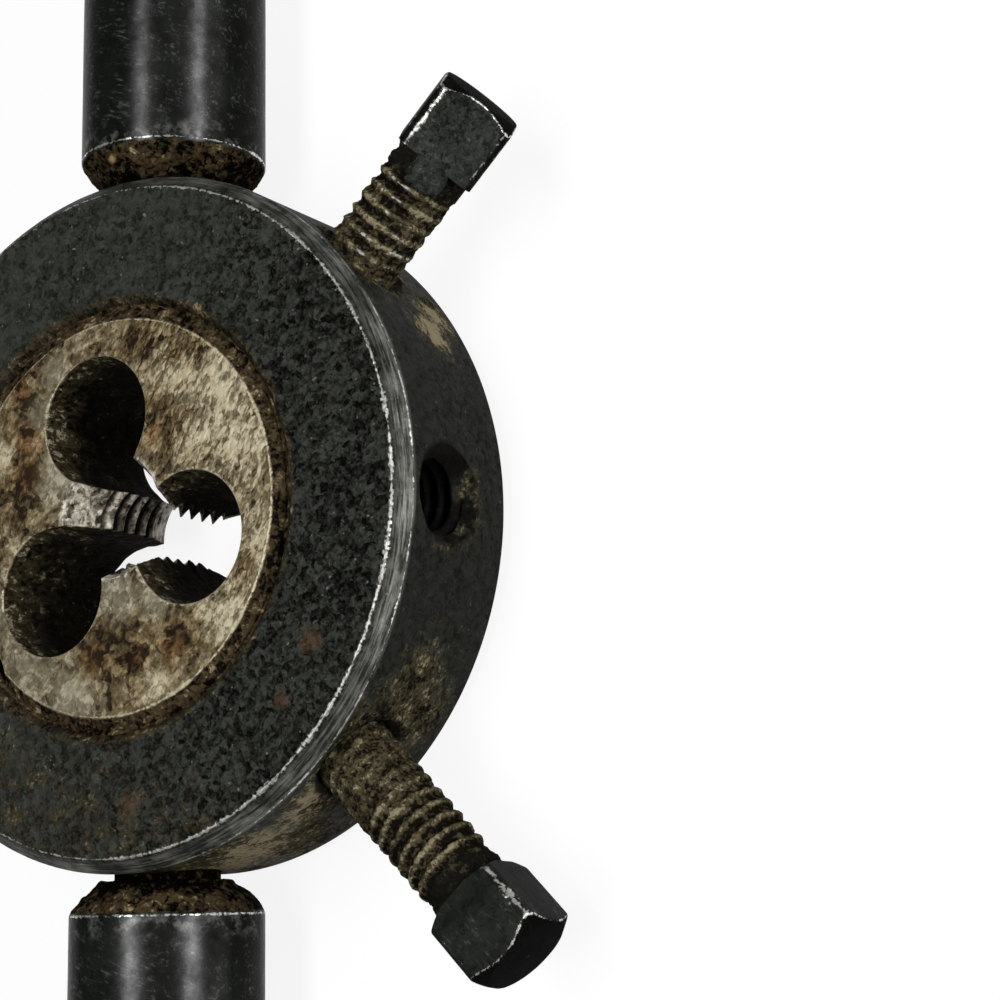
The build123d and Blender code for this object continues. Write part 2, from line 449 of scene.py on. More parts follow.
class Shader:
    """Adds nodes to one material or node group in few words."""

    def __init__(self, tree):
        self.tree = tree
        self.nodes = tree.nodes
        self.column = 0

    def put(self, socket, value):
        """Links a socket to another, or gives it a plain value."""
        if isinstance(value, bpy.types.NodeSocket):
            self.tree.links.new(value, socket)
        else:
            socket.default_value = value

    def give(self, node, **inputs):
        """Fills the inputs of a node, where _ in a name stands for a space."""
        for name, value in inputs.items():
            self.put(node.inputs[name.replace("_", " ")], value)
        return node

    def add(self, kind, **inputs):
        """Adds a node to the right of the last one and fills its named inputs."""
        node = self.nodes.new(kind)
        self.column += 1
        node.location = (self.column * 180 % 2400, -(self.column * 180 // 2400) * 320)
        return self.give(node, **inputs)

    def listed(self, kind, *values):
        """Adds a node and fills its inputs in their order."""
        node = self.add(kind)
        for socket, value in zip(node.inputs, values):
            self.put(socket, value)
        return node

    def math(self, operation, *values):
        """The result of a sum on values or sockets."""
        node = self.listed("ShaderNodeMath", *values)
        node.operation = operation
        return node.outputs[0]

    times = partialmethod(math, "MULTIPLY")
    times_plus = partialmethod(math, "MULTIPLY_ADD")
    plus = partialmethod(math, "ADD")
    minus = partialmethod(math, "SUBTRACT")
    over = partialmethod(math, "DIVIDE")
    larger = partialmethod(math, "MAXIMUM")

    def between(self, value, low, high, to_low=0.0, to_high=1.0):
        """Maps a value from one span to another and keeps it inside."""
        node = self.listed("ShaderNodeMapRange", value, low, high, to_low, to_high)
        node.clamp = True
        return node.outputs[0]

    def mix(self, share, first, second):
        """Blends two colours."""
        node = self.add("ShaderNodeMix")
        node.data_type = "RGBA"
        sockets = {s.identifier: s for s in (*node.inputs, *node.outputs)}
        for name, value in (("Factor_Float", share), ("A_Color", first), ("B_Color", second)):
            self.put(sockets[name], value)
        return sockets["Result_Color"]

    def ramp(self, value, stops):
        """Colours along a value, from (place, colour) stops."""
        node = self.add("ShaderNodeValToRGB", Fac=value)
        elements = node.color_ramp.elements
        while len(elements) < len(stops):
            elements.new(0.5)
        for element, (place, tone) in zip(elements, stops):
            element.position = place
            element.color = (*tone, 1)
        return node.outputs["Color"]

    def noise(self, place, scale, detail=3.0, roughness=0.55):
        """Cloudy noise from about 0 to 1."""
        node = self.add(
            "ShaderNodeTexNoise", Vector=place, Scale=scale, Detail=detail, Roughness=roughness)
        return node.outputs["Fac"]

    def cells(self, place, scale):
        """A chance value for each small cell of space, and the distance to its middle."""
        node = self.add("ShaderNodeTexVoronoi", Vector=place, Scale=scale)
        parts = self.add("ShaderNodeSeparateColor", Color=node.outputs["Color"])
        return parts.outputs[0], node.outputs["Distance"]

    def mask(self, name):
        """A mask that is painted on the piece."""
        node = self.add("ShaderNodeAttribute")
        node.attribute_name = name
        return node.outputs["Fac"]

    def bump(self, height, distance, **normal):
        """A surface direction bent by a height that stands for a distance in metres."""
        node = self.add("ShaderNodeBump", Height=height, Distance=distance, Strength=1.0, **normal)
        return node.outputs[0]

    def effect(self, name, **inputs):
        """Adds a shared node group, which is built on its first use."""
        node = self.add("ShaderNodeGroup")
        node.node_tree = bpy.data.node_groups.get(name) or EFFECTS[name]()
        return self.give(node, **inputs).outputs


def new_group(name, inputs, outputs):
    """An empty node group with the named sockets."""
    tree = bpy.data.node_groups.new(name, "ShaderNodeTree")
    for side, labels in (("INPUT", inputs), ("OUTPUT", outputs)):
        for label in labels.split():
            kind = "NodeSocket" + SOCKET_KINDS.get(label, "Float")
            tree.interface.new_socket(label, in_out=side, socket_type=kind)
    sh = Shader(tree)
    return tree, sh, sh.add("NodeGroupInput").outputs, sh.add("NodeGroupOutput")


def build_flakes():
    """Angular flakes of many tones and two sizes, with their height."""
    tree, sh, given, out = new_group("Flakes", "Place Scale", "Tone Height")
    place, scale = given["Place"], given["Scale"]
    bend = sh.add("ShaderNodeTexNoise", Vector=place, Detail=3.0, Scale=sh.times(scale, 0.8))
    push = sh.listed("ShaderNodeVectorMath", bend.outputs["Color"])
    push.operation = "SCALE"
    sh.give(push, Scale=sh.over(1.3, scale))
    bent = sh.listed("ShaderNodeVectorMath", place, push.outputs[0])
    bent.operation = "ADD"
    large, large_edge = sh.cells(bent.outputs[0], scale)
    small, _ = sh.cells(bent.outputs[0], sh.times(scale, 2.3))
    fine = sh.noise(place, sh.times(scale, 1.6), 4.0, 0.7)
    tone = sh.times_plus(large, 0.38, sh.times(small, 0.32))
    tone = sh.plus(tone, sh.times_plus(fine, 0.9, -0.3))
    sh.give(out, Tone=tone, Height=sh.times_plus(large_edge, -0.5, tone))
    return tree


def build_broken_edge():
    """Bare steel along an edge: a thin line that widens and breaks up as the edge wore."""
    tree, sh, given, out = new_group("Broken edge", "Place Edge Amount", "Mask")
    place, edge = given["Place"], given["Edge"]
    coarse = sh.noise(place, 500.0, 2.0)
    fine = sh.noise(place, 3600.0, 3.0)
    chips, _ = sh.cells(place, 6500.0)
    worn = sh.times_plus(coarse, 1.3, sh.times(fine, 0.9))
    worn = sh.times_plus(chips, 0.35, worn)
    worn = sh.plus(worn, sh.times_plus(given["Amount"], 0.7, -1.62))
    worn = sh.plus(worn, edge)
    mask = sh.times(sh.between(worn, 0.5, 0.8), sh.between(edge, 0.1, 0.3))
    sh.give(out, Mask=sh.times(mask, sh.between(chips, 0.0, 0.7, 0.3, 1.0)))
    return tree


def build_pits():
    """Fine dark pits with sound steel between them."""
    tree, sh, given, out = new_group("Pits", "Place Scale Amount", "Sound Tone Height")
    place, scale = given["Place"], given["Scale"]
    flakes = sh.effect("Flakes", Place=place, Scale=scale)
    patches = sh.noise(place, sh.times(scale, 0.12), 2.0)
    level = sh.times_plus(given["Amount"], 0.5, sh.times(patches, 0.3))
    low = sh.minus(level, 0.32)
    sound = sh.between(flakes["Tone"], low, sh.plus(low, 0.45))
    tone = sh.between(flakes["Tone"], 0.3, 0.95)
    sh.give(out, Sound=sound, Tone=tone, Height=flakes["Height"])
    return tree


def build_stain():
    """Where rust or dirt has taken hold inside a painted mask."""
    tree, sh, given, out = new_group("Stain", "Place Mask Scale Spread", "Cover")
    place, scale = given["Place"], given["Scale"]
    broad = sh.noise(place, scale, 4.0, 0.62)
    fine = sh.noise(place, sh.times(scale, 5.0), 3.0, 0.6)
    level = sh.times_plus(given["Mask"], 0.62, given["Spread"])
    worth = sh.plus(level, sh.times_plus(fine, 0.5, broad))
    sh.give(out, Cover=sh.between(worth, 0.95, 1.3))
    return tree


def build_crust():
    """Flaky scale: black gaps, brown flakes and a few pale grains, with its height."""
    tree, sh, given, out = new_group("Crust", "Place Scale Level Gap Flake Grain", "Color Height")
    place, scale = given["Place"], given["Scale"]
    flakes = sh.effect("Flakes", Place=place, Scale=scale)
    patches = sh.noise(place, sh.times(scale, 0.2), 3.0)
    level = sh.times_plus(patches, 0.9, sh.plus(flakes["Tone"], given["Level"]))
    tone = sh.mix(sh.between(level, 0.72, 1.12), given["Gap"], given["Flake"])
    tone = sh.mix(sh.between(level, 1.2, 1.36), tone, given["Grain"])
    sh.give(out, Color=tone, Height=sh.times_plus(patches, 0.6, flakes["Height"]))
    return tree


EFFECTS = {
    "Flakes": build_flakes, "Broken edge": build_broken_edge, "Pits": build_pits,
    "Stain": build_stain, "Crust": build_crust,
}


def new_material(name, gloss):
    """A material with one Principled shader, its helper, and the place on the piece."""
    material = bpy.data.materials.new(name)
    material.use_nodes = True
    sh = Shader(material.node_tree)
    shader = sh.nodes["Principled BSDF"]
    sh.give(shader, IOR=1.5, Specular_IOR_Level=gloss)
    return material, sh, shader, sh.add("ShaderNodeTexCoord").outputs["Object"]


def stretched(sh, place, turn, along, across):
    """The same place seen along a direction: long one way and fine the other."""
    spin = sh.add("ShaderNodeVectorRotate", Vector=place, Angle=turn)
    spin.rotation_type = "Z_AXIS"
    return sh.add(
        "ShaderNodeMapping", Vector=spin.outputs[0], Scale=(along, across, across)).outputs[0]


def polar(sh, place, around, across):
    """A place drawn out round the Z axis, for marks left by turning and wiping."""
    x, y, z = sh.add("ShaderNodeSeparateXYZ", Vector=place).outputs
    radius = sh.math("SQRT", sh.plus(sh.times(x, x), sh.times(y, y)))
    return sh.add(
        "ShaderNodeCombineXYZ", X=sh.times(sh.over(x, radius), around),
        Y=sh.times(sh.over(y, radius), around),
        Z=sh.times(sh.times_plus(z, -0.83, radius), across)).outputs[0]


def rust_scale(sh, finish, place, scale, level):
    """Flaky brown rust."""
    return sh.effect(
        "Crust", Place=place, Scale=scale, Level=level,
        Gap=finish.crust, Flake=finish.rust, Grain=finish.gold)


def stain(sh, place, mask, scale, spread):
    """Where a stain covers a painted mask."""
    return sh.effect("Stain", Place=place, Mask=sh.mask(mask), Scale=scale, Spread=spread)["Cover"]


def bare_edges(sh, place, base, bare):
    """A colour with its painted edges rubbed bare, and the mask of those edges."""
    bright = sh.effect("Broken edge", Place=place, Edge=sh.mask("edge"), Amount=sh.mask("rubbed"))
    return sh.mix(bright["Mask"], base, bare), bright["Mask"]


def blued_ring_material(finish):
    """Near-black blued steel with fine pits, rubbed edges, wipe marks, rust and dirt, with painted
    shade on its outer side, in its screw holes and in its pocket, and painted light on the lower walls
    of the holes.
    """
    material, sh, shader, place = new_material("blued_ring", 0.025)
    pits = sh.effect("Pits", Place=place, Scale=2300.0, Amount=sh.mask("pitted"))
    broad = sh.noise(place, 420.0, 4.0, 0.65)
    tones = sh.times_plus(sh.noise(place, 1500.0, 4.0, 0.7), 0.9, sh.times(pits["Tone"], 0.5))
    sound = sh.mix(sh.between(broad, 0.3, 0.7), finish.blued_low, finish.blued)
    sound = sh.mix(sh.between(tones, 0.45, 0.95), sound, finish.blued_high)
    base = sh.mix(pits["Sound"], finish.blued_pit_and_shade, sound)
    marks = sh.noise(polar(sh, place, 9.0, 5200.0), 1.0, 4.0, 0.68)
    wiped = sh.mask("wiped")
    streaks = sh.between(sh.times_plus(broad, 0.5, marks), 0.66, 1.0)
    streaks = sh.mix(streaks, finish.wiped_low, finish.wiped_high)
    base = sh.mix(sh.times(wiped, sh.between(broad, 0.25, 0.6, 0.45, 0.95)), base, streaks)
    specks = sh.between(sh.noise(place, 2600.0, 1.0, 0.5), 0.735, 0.8)
    base = sh.mix(sh.times(specks, 0.5), base, finish.speck)
    crust = rust_scale(sh, finish, place, 2600.0, 0.02)
    rust = stain(sh, place, "rust", 900.0, -0.1)
    base = sh.mix(sh.times(rust, 0.85), base, crust["Color"])
    red = stain(sh, place, "red", 1400.0, -0.16)
    base = sh.mix(sh.times(red, 0.5), base, finish.red_rust)
    dirt = stain(sh, place, "dirt", 1300.0, 0.02)
    # Painted shade: the ring's outer side is darkened halfway towards the near-black crust colour.
    base = sh.mix(sh.times(sh.mask("side"), 0.5), base, finish.crust)
    grime = sh.effect(
        "Crust", Place=place, Scale=2600.0, Level=sh.mask("tan"), Gap=finish.crust,
        Flake=finish.dirt, Grain=finish.dust)
    base = sh.mix(sh.times(dirt, 0.95), base, grime["Color"])
    # Painted shade: the screw holes and the pocket walls below the face are darkened almost to the
    # crust colour.
    base = sh.mix(sh.times(sh.mask("dark"), 0.97), base, finish.crust)
    base, bright = bare_edges(sh, place, base, finish.bare)
    stains = sh.larger(rust, dirt)
    roughness = sh.between(pits["Sound"], 0.0, 1.0, 0.75, 0.55)
    roughness = sh.larger(roughness, sh.times(stains, 0.85))
    roughness = sh.times_plus(sh.larger(bright, wiped), -0.16, roughness)
    height = sh.times_plus(stains, sh.times(crust["Height"], 1.6), pits["Height"])
    height = sh.times_plus(sh.times(marks, wiped), 1.4, height)
    normal = sh.bump(height, 0.018 * MM)
    metal = sh.larger(bright, sh.times(wiped, 0.5))
    sh.give(shader, Base_Color=base, Roughness=roughness, Metallic=metal, Normal=normal)
    return material


def handle_material(finish):
    """Blued bar steel with rub marks, a rusty shoulder and a crusted neck."""
    material, sh, shader, place = new_material("blued_handle", 0.015)
    pits = sh.effect("Pits", Place=place, Scale=3200.0, Amount=0.2)
    broad = sh.noise(place, 260.0, 4.0)
    sound = sh.mix(sh.between(broad, 0.32, 0.7), finish.bar_low, finish.bar_high)
    base = sh.mix(pits["Sound"], finish.blued_pit_and_shade, sound)
    rubs = sh.noise(stretched(sh, place, 0.35, 700.0, 5200.0), 1.0, 4.0, 0.65)
    scuffs = sh.noise(place, 900.0, 4.0, 0.7)
    rubbed = sh.times(sh.between(rubs, 0.52, 0.76), sh.between(scuffs, 0.46, 0.64))
    rim_rub = sh.times(sh.between(scuffs, 0.5, 0.68), sh.mask("scuffed"))
    rubbed = sh.larger(rubbed, rim_rub)
    base = sh.mix(sh.times(rubbed, 0.75), base, finish.bar_rubbed)
    crust = rust_scale(sh, finish, place, 2100.0, sh.between(sh.mask("neck"), 0.0, 1.0, -0.06, -0.32))
    rust_cover = sh.between(sh.mask("rust"), 0.15, 0.5)
    base = sh.mix(rust_cover, base, crust["Color"])
    base = sh.mix(sh.mask("chunk"), base, finish.chunk)
    base, bright = bare_edges(sh, place, base, finish.bare)
    roughness = sh.between(scuffs, 0.35, 0.65, 0.22, 0.34)
    roughness = sh.larger(roughness, sh.times(rust_cover, 0.9))
    height = sh.times(rust_cover, sh.times(crust["Height"], 20.0))
    height = sh.plus(height, pits["Height"])
    dents = sh.noise(place, 1300.0, 5.0, 0.7)
    normal = sh.bump(dents, 0.05 * MM, Normal=sh.bump(height, 0.003 * MM))
    cloud = sh.times_plus(broad, 0.4, sh.times_plus(dents, 0.5, scuffs))
    coat = sh.between(cloud, 0.72, 1.12, 0.3, 1.0)
    facing = sh.add("ShaderNodeLayerWeight", Blend=0.5).outputs["Facing"]
    coat = sh.times(coat, sh.between(facing, 0.11, 0.25, 1.0, 0.05))
    sh.give(shader, Coat_Roughness=0.26, Coat_Weight=sh.times(sh.minus(1.0, rust_cover), coat))
    metal = sh.larger(bright, sh.times(rubbed, 0.35))
    sh.give(shader, Base_Color=base, Roughness=roughness, Metallic=metal, Normal=normal)
    return material


def ground_face(sh, finish, place):
    """The die's ground face, mottled by rust: its colour, tone, shade and height."""
    strokes = sh.effect("Flakes", Place=stretched(sh, place, -0.98, 0.62, 1.15), Scale=2500.0)
    blotches = sh.effect("Flakes", Place=place, Scale=1250.0)
    rust, clean = sh.mask("rust"), sh.mask("clean")
    more = sh.minus(strokes["Tone"], blotches["Tone"])
    tone = sh.times_plus(more, sh.mask("stroked"), blotches["Tone"])
    tone = sh.times_plus(sh.noise(place, 620.0, 3.0, 0.6), 0.55, tone)
    tone = sh.times_plus(rust, -0.2, tone)
    tone = sh.times_plus(sh.mask("polished"), 0.17, tone)
    shade = sh.between(tone, 0.46, 1.04)
    shade = sh.times_plus(sh.minus(0.52, shade), sh.times(clean, 0.45), shade)
    base = sh.ramp(shade, (
        (0.0, (0.016, 0.011, 0.006)), (0.25, finish.tarnish[:3]),
        (0.55, (0.22, 0.187, 0.115)), (0.95, finish.ground[:3])))
    brown = sh.noise(place, 1050.0, 4.0, 0.65)
    brown = sh.times_plus(clean, -0.2, sh.times_plus(rust, 0.34, brown))
    brown = sh.between(brown, 0.5, 0.78)
    base = sh.mix(sh.times(brown, 0.8), base, sh.ramp(shade, BROWN_TONES))
    base = sh.mix(sh.times(clean, 0.4), base, sh.ramp(shade, GREY_TONES))
    red = stain(sh, place, "red", 1700.0, -0.02)
    base = sh.mix(sh.times(red, 0.75), base, sh.ramp(shade, RED_TONES))
    return base, tone, shade, strokes["Height"]


def die_material(finish):
    """Bare ground steel with grinding strokes, mottled by brown rust, and crusted holes, with painted
    shade: the holes darken further down and the thread grooves of the lands are dark.
    """
    material, sh, shader, place = new_material("ground_die", 0.04)
    base, tone, shade, strokes = ground_face(sh, finish, place)
    rim, wall, deep, groove = [sh.mask(name) for name in ("rim", "wall", "deep", "groove")]
    scale = rust_scale(sh, finish, place, 2300.0, 0.0)
    base = sh.mix(rim, base, scale["Color"])
    down = sh.add("ShaderNodeMapping", Vector=place, Scale=(1, 1, 0.6)).outputs[0]
    # Painted shade: the crust in the clearance holes thins and darkens towards near black further down.
    scab = sh.effect(
        "Crust", Place=down, Scale=2600.0, Level=sh.times_plus(deep, -0.18, 0.13),
        Gap=finish.hole_gap, Flake=finish.hole_flake, Grain=finish.hole_grain)
    inside = sh.mix(sh.times(deep, 0.45), scab["Color"], finish.hole_shade)
    base = sh.mix(wall, base, inside)
    base = sh.mix(sh.mask("land"), base, sh.ramp(sh.between(tone, 0.5, 1.0), LAND_TONES))
    # Painted shade: the thread grooves of the lands are darkened to near black.
    base = sh.mix(groove, base, finish.groove)
    base, bright = bare_edges(sh, place, base, finish.ground)
    crusted = sh.larger(wall, rim)
    bare = sh.minus(1.0, sh.larger(crusted, groove))
    metal = sh.larger(sh.times(sh.times(shade, 0.35), bare), bright)
    roughness = sh.times_plus(shade, -0.1, sh.times_plus(bare, -0.3, 0.85))
    height = sh.times_plus(crusted, sh.times(scale["Height"], 1.5), strokes)
    normal = sh.bump(height, 0.06 * MM)
    sh.give(shader, Base_Color=base, Roughness=roughness, Metallic=metal, Normal=normal)
    return material


def screw_material(finish):
    """A blackened square head with rubbed corners on a thread packed with dirt, with painted light and
    shade: a lighter upper head, darker end faces and rounded corners, and paler ridges and darker
    grooves on the thread.
    """
    material, sh, shader, place = new_material("set_screw", 0.015)
    pits = sh.effect("Pits", Place=place, Scale=2900.0, Amount=0.3)
    broad = sh.noise(place, 500.0, 3.0)
    sound = sh.mix(sh.between(broad, 0.35, 0.7), finish.head_low, finish.head_high)
    # worn is partly painted light: the upper head gets a lighter grain and more scuffs than the lower
    # one.
    worn = sh.mask("worn")
    sound = sh.mix(sh.times(pits["Tone"], sh.times(worn, 0.55)), sound, finish.head_wear_and_light)
    base = sh.mix(sh.times_plus(pits["Sound"], 0.7, 0.3), finish.blued_pit_and_shade, sound)
    scuffs = sh.noise(stretched(sh, place, 0.75, 1500.0, 4200.0), 1.0, 5.0, 0.72)
    scuffed = sh.times(sh.between(scuffs, 0.54, 0.72), sh.between(broad, 0.4, 0.65))
    scuffed = sh.times(scuffed, sh.between(worn, 0.0, 1.0, 0.55, 0.85))
    base = sh.mix(scuffed, base, finish.head_scuff)
    # Painted shade: the end faces and rounded corners of the heads are darkened nearly to the pit
    # colour.
    base = sh.mix(sh.times(sh.mask("end"), 0.9), base, finish.blued_pit_and_shade)
    # The level makes the thread paler on its ridges and darker in its grooves: painted light and shade
    # over packed dirt.
    grime = sh.effect(
        "Crust", Place=place, Scale=3000.0,
        Level=sh.between(sh.mask("packing"), 0.0, 1.0, LEAST_PACKING, MOST_PACKING),
        Gap=finish.grease_and_shade, Flake=finish.dirt, Grain=finish.thread_dust_and_light)
    thread = sh.mask("thread")
    dirty = sh.times(thread, sh.between(sh.mask("neck"), 0.0, 1.0, 1.0, 0.78))
    base = sh.mix(dirty, base, grime["Color"])
    base, bright = bare_edges(sh, place, base, finish.bare)
    roughness = sh.times_plus(thread, 0.35, 0.5)
    roughness = sh.times_plus(bright, -0.14, roughness)
    roughness = sh.times_plus(sh.mask("end"), 0.3, roughness)
    height = sh.times_plus(thread, sh.times(grime["Height"], 3.0), pits["Height"])
    normal = sh.bump(height, 0.01 * MM)
    sh.give(shader, Base_Color=base, Roughness=roughness, Metallic=bright, Normal=normal)
    return material


def crust_material(finish):
    """Rust and packed dirt in the gap round the die."""
    material, sh, shader, place = new_material("pocket_crust", 0.02)
    scale = rust_scale(sh, finish, place, 2300.0, -0.03)
    roughness = sh.between(scale["Height"], 0.3, 1.0, 0.75, 0.95)
    normal = sh.bump(scale["Height"], 0.06 * MM)
    sh.give(shader, Base_Color=scale["Color"], Roughness=roughness, Normal=normal)
    return material


# --- the ring ---

HOLE_COLUMNS = 72
CRUST_ROWS, CRUST_COLUMNS = 24, 720
RING_RUST = [
    (1.8, -16.8, 5.5, 1.1), (14.4, -8.4, 5.5, 1.3), (9.9, -3.6, 5.5, 0.4), (12.5, -11.5, 5.5, 0.8),
]
RING_DIRT = [
    (17.5, -11.0, 0.4, 3.2), (15.8, -13.3, 2.6, 2.6), (16.6, -12.2, -2.4, 2.4), (8.3, -18.9, -1.7, 4.4),
    (6.9, -19.4, 2.0, 3.6), (12.0, -16.8, 1.0, 3.4), (3.0, -20.4, 0.5, 3.2),
    (17.1, 11.6, -2.8, 2.0), (15.4, 13.8, 1.4, 3.4), (13.2, 15.9, -1.5, 3.0), (18.2, 9.7, -1.4, 1.9),
]
RING_TAN = [
    (6.5, -19.6, 0.6, 2.2), (9.5, -18.3, 1.8, 1.8), (12.2, -16.6, 2.4, 1.2), (4.0, -20.2, -1.0, 1.6),
    (18.2, 9.7, -1.5, 1.1), (17.2, 11.4, -2.6, 1.0),
]
RING_NICK = [(20.2, -2.55, 5.3, 0.35)]


def ring_outline(ring):
    """Section of the ring, from the back face round to the hole behind the die."""
    back = -ring.front
    seat = ring.front - (DIE_HIGH.z - DIE_LOW.z)
    soft, fine, close, coarse = ring.edge_round, 0.26 * MM, 0.06 * MM, 0.8 * MM
    side, face = ring.radius, ring.radius - ring.face_bevel_width
    low = ring.front - ring.face_bevel_height
    return outline([
        (ring.seat_radius + ring.seat_bevel, back, 0.08 * MM, coarse),
        (ring.radius - ring.back_bevel, back, 0.15 * MM, 0.3 * MM),
        (side, back + ring.back_bevel, 0.15 * MM, fine),
        (side, low - 0.35 * MM, 0.0, close),
        (side, low, soft, close),
        (face, ring.front, soft, close),
        (face - 0.35 * MM, ring.front, 0.0, fine),
        (ring.pocket_radius + ring.pocket_bevel, ring.front, 0.14 * MM, 0.18 * MM),
        (ring.pocket_radius, ring.front - ring.pocket_bevel, 0.1 * MM, 2.0 * MM),
        (ring.pocket_radius, seat, 0.0, coarse),
        (ring.seat_radius, seat, 0.1 * MM, 0.7 * MM),
        (ring.seat_radius, back + ring.seat_bevel, 0.08 * MM, 0.3 * MM),
    ])


def hole_cutter(ring, screw, angle, threaded):
    """A closed plug the shape of one tapped hole and its countersink."""
    columns, spacing = HOLE_COLUMNS, screw.pitch / 12
    start, end = ring.pocket_radius - 1.5 * MM, ring.radius + 1.0 * MM
    along = np.arange(start, end, spacing)[:, None]
    around = np.arange(columns)[None, :] * TURN / columns
    radius = screw.thread_radius + screw.clearance
    if threaded:
        turn = along / screw.pitch - around / TURN
        radius = radius - screw.groove_depth * thread_height(turn)
    radius = np.maximum(radius, screw.mouth_radius + along - ring.radius)
    points = capped_points(around_z(radius, around, along))
    return stand(points, angle, screw.height), capped_faces(len(along), columns)


def neck_cutter(ring, angle):
    """A closed plug the shape of one hole for a handle's neck."""
    along = np.array((ring.pocket_radius - 2.5 * MM, ring.radius + 1.0 * MM))
    rows = lathe(np.stack((np.full(2, ring.neck_hole_radius), along), -1), HOLE_COLUMNS)
    return stand(capped_points(rows), angle), capped_faces(2, HOLE_COLUMNS)


def cut(piece, cutters):
    """Takes the cutters' shapes out of a piece."""
    tools = [new_piece("cutter", points, faces) for points, faces in cutters]
    for tool in tools:
        change = piece.modifiers.new("Hole", "BOOLEAN")
        change.operation = "DIFFERENCE"
        change.solver = "MANIFOLD"
        change.object = tool
    evaluated = piece.evaluated_get(bpy.context.evaluated_depsgraph_get())
    mesh = bpy.data.meshes.new_from_object(evaluated)
    piece.modifiers.clear()
    piece.data = mesh
    for tool in tools:
        bpy.data.objects.remove(tool)


def hole_marks(points, radius, ring, screw):
    """Dirt round the mouths of the screw holes, the holes themselves, darkened as painted shade, and
    the flakes on their lower walls, painted lighter where light falls.
    """
    dirt, holes, lit = 0, 0, 0
    flaked = smooth(rough(points, 0.7 * MM, 13), -0.15, 0.35)
    past_pocket = radius > ring.pocket_radius + 0.05 * MM
    for turn in (-1, 0, 1):
        out = screw.clocking + turn * screw.spread
        axis = np.array((np.cos(out), np.sin(out), 0))
        across = points - np.array((0, 0, screw.height))
        across = np.linalg.norm(across - (across @ axis)[:, None] * axis, axis=1)
        forward = (points @ axis) > 0
        inside = forward & (across < screw.mouth_radius + 0.02 * MM) & past_pocket
        deep = smooth(-(points @ axis), -ring.radius + 0.2 * MM, -ring.radius + 1.8 * MM)
        lean = screw.height - points[:, 2] - 0.5 * (points[:, 1] - turn * 14 * MM)
        toward = smooth(lean / MM, 0.4, 2.4)
        # holes, a little darker further in, is the painted shade inside each hole.
        holes = np.maximum(holes, inside * (0.9 + 0.1 * deep))
        lit = np.maximum(lit, inside * toward * (1 - 0.9 * deep) * flaked)
        around = forward * bell(across - screw.mouth_radius, 0.7 * MM)
        dirt = np.maximum(dirt, around * (0.3 + 0.35 * toward if turn == 0 else 1.0))
    return dirt, holes, lit


def dress_ring(piece, ring, screw):
    """Wears the ring's surfaces and marks where its finishes change."""
    mesh = piece.data
    points = read(mesh)
    radius = np.hypot(points[:, 0], points[:, 1])
    angle = np.arctan2(points[:, 1], points[:, 0])
    height = points[:, 2]
    face_edge = np.hypot(radius - ring.radius + ring.face_bevel_width, height - ring.front)
    side_edge = np.hypot(radius - ring.radius, height - ring.front + ring.face_bevel_height)
    back_edge = np.hypot(radius - ring.radius + ring.back_bevel, height + ring.front)
    bevel_start = ring.radius - ring.face_bevel_width
    on_bevel = smooth(radius, bevel_start, bevel_start + 0.5 * ring.face_bevel_width)
    on_bevel = on_bevel * smooth(height, ring.front - 1.3 * MM, ring.front - 0.9 * MM)
    right = smooth(np.cos(angle + 0.3), -0.5, 0.8)
    edge = fading(face_edge, 0.14 * MM)
    edge = np.maximum(edge, 0.75 * fading(side_edge, 0.075 * MM))
    edge = np.maximum(edge, 0.6 * fading(back_edge, 0.1 * MM))
    rubbed = 0.05 + 0.5 * right
    in_pocket = smooth(-radius, -ring.pocket_radius - 0.6 * MM, -ring.pocket_radius - 0.45 * MM)
    past = np.maximum(radius - ring.pocket_radius - ring.pocket_bevel, 0)
    pocket_rust = 0.85 * bell(past, 0.4 * MM)
    on_face = smooth(height, ring.front - 0.3 * MM, ring.front - 0.1 * MM)
    hole_dirt, holes, lit = hole_marks(points, radius, ring, screw)
    # side marks the ring's outer face: the material paints it darker as shade, and it also takes a
    # little rust.
    side = smooth(radius, ring.radius - 0.1 * MM, ring.radius) * (1 - on_bevel)
    neck_side = bell(np.abs(points[:, 1]) - ring.radius, 1.6 * MM) * side
    dirt = np.maximum(near(points, RING_DIRT), 0.85 * hole_dirt) * (1 - on_face) * (1 - on_bevel)
    # lit is painted light: the upward-facing lower wall near each hole's mouth gets dirt, flakes and
    # pale dust instead of painted shade.
    dirt = np.maximum(np.maximum(dirt, 0.8 * neck_side), lit)
    rust = np.maximum(pocket_rust * on_face, in_pocket)
    rust = np.maximum(rust, 0.15 * side)
    low_face = smooth(-points[:, 1] - 0.4 * points[:, 0], 4 * MM, 18 * MM)
    rust = np.maximum(rust, on_face * (1 - on_bevel) * 0.62 * low_face)
    tan = 0.02 + 0.62 * near(points, RING_TAN) + 0.12 * lit
    # dark below is painted shade in the screw holes and in the pocket, held off the lit lower walls.
    paint(
        mesh, edge=edge, rubbed=rubbed, wiped=on_bevel * (0.3 + 0.7 * right),
        pitted=0.25 + on_face * 0.55 * smooth(points[:, 0] - 0.3 * points[:, 1], -6 * MM, 14 * MM),
        rust=rust, red=near(points, RING_RUST), dirt=dirt, side=side * (1 - holes), tan=tan,
        dark=np.maximum(holes - 0.85 * lit, 0.5 * in_pocket * (1 - on_face)))
    dents = rough(points, 0.9 * MM, 5) * edge * 0.035 * MM
    wave = rough(points, 2.4 * MM, 9) * 0.006 * MM
    scale = rust * on_face * rough(points, 0.4 * MM, 3) * 0.03 * MM
    mouth = smooth(holes, 0.3, 0.8) * (1 - smooth(holes, 0.9, 0.98))
    mouth = mouth * rough(points, 0.6 * MM, 7) * 0.12 * MM
    nick = near(points, RING_NICK) * 0.09 * MM
    shift_points(mesh, wave - np.abs(dents) - nick + scale - np.abs(mouth))


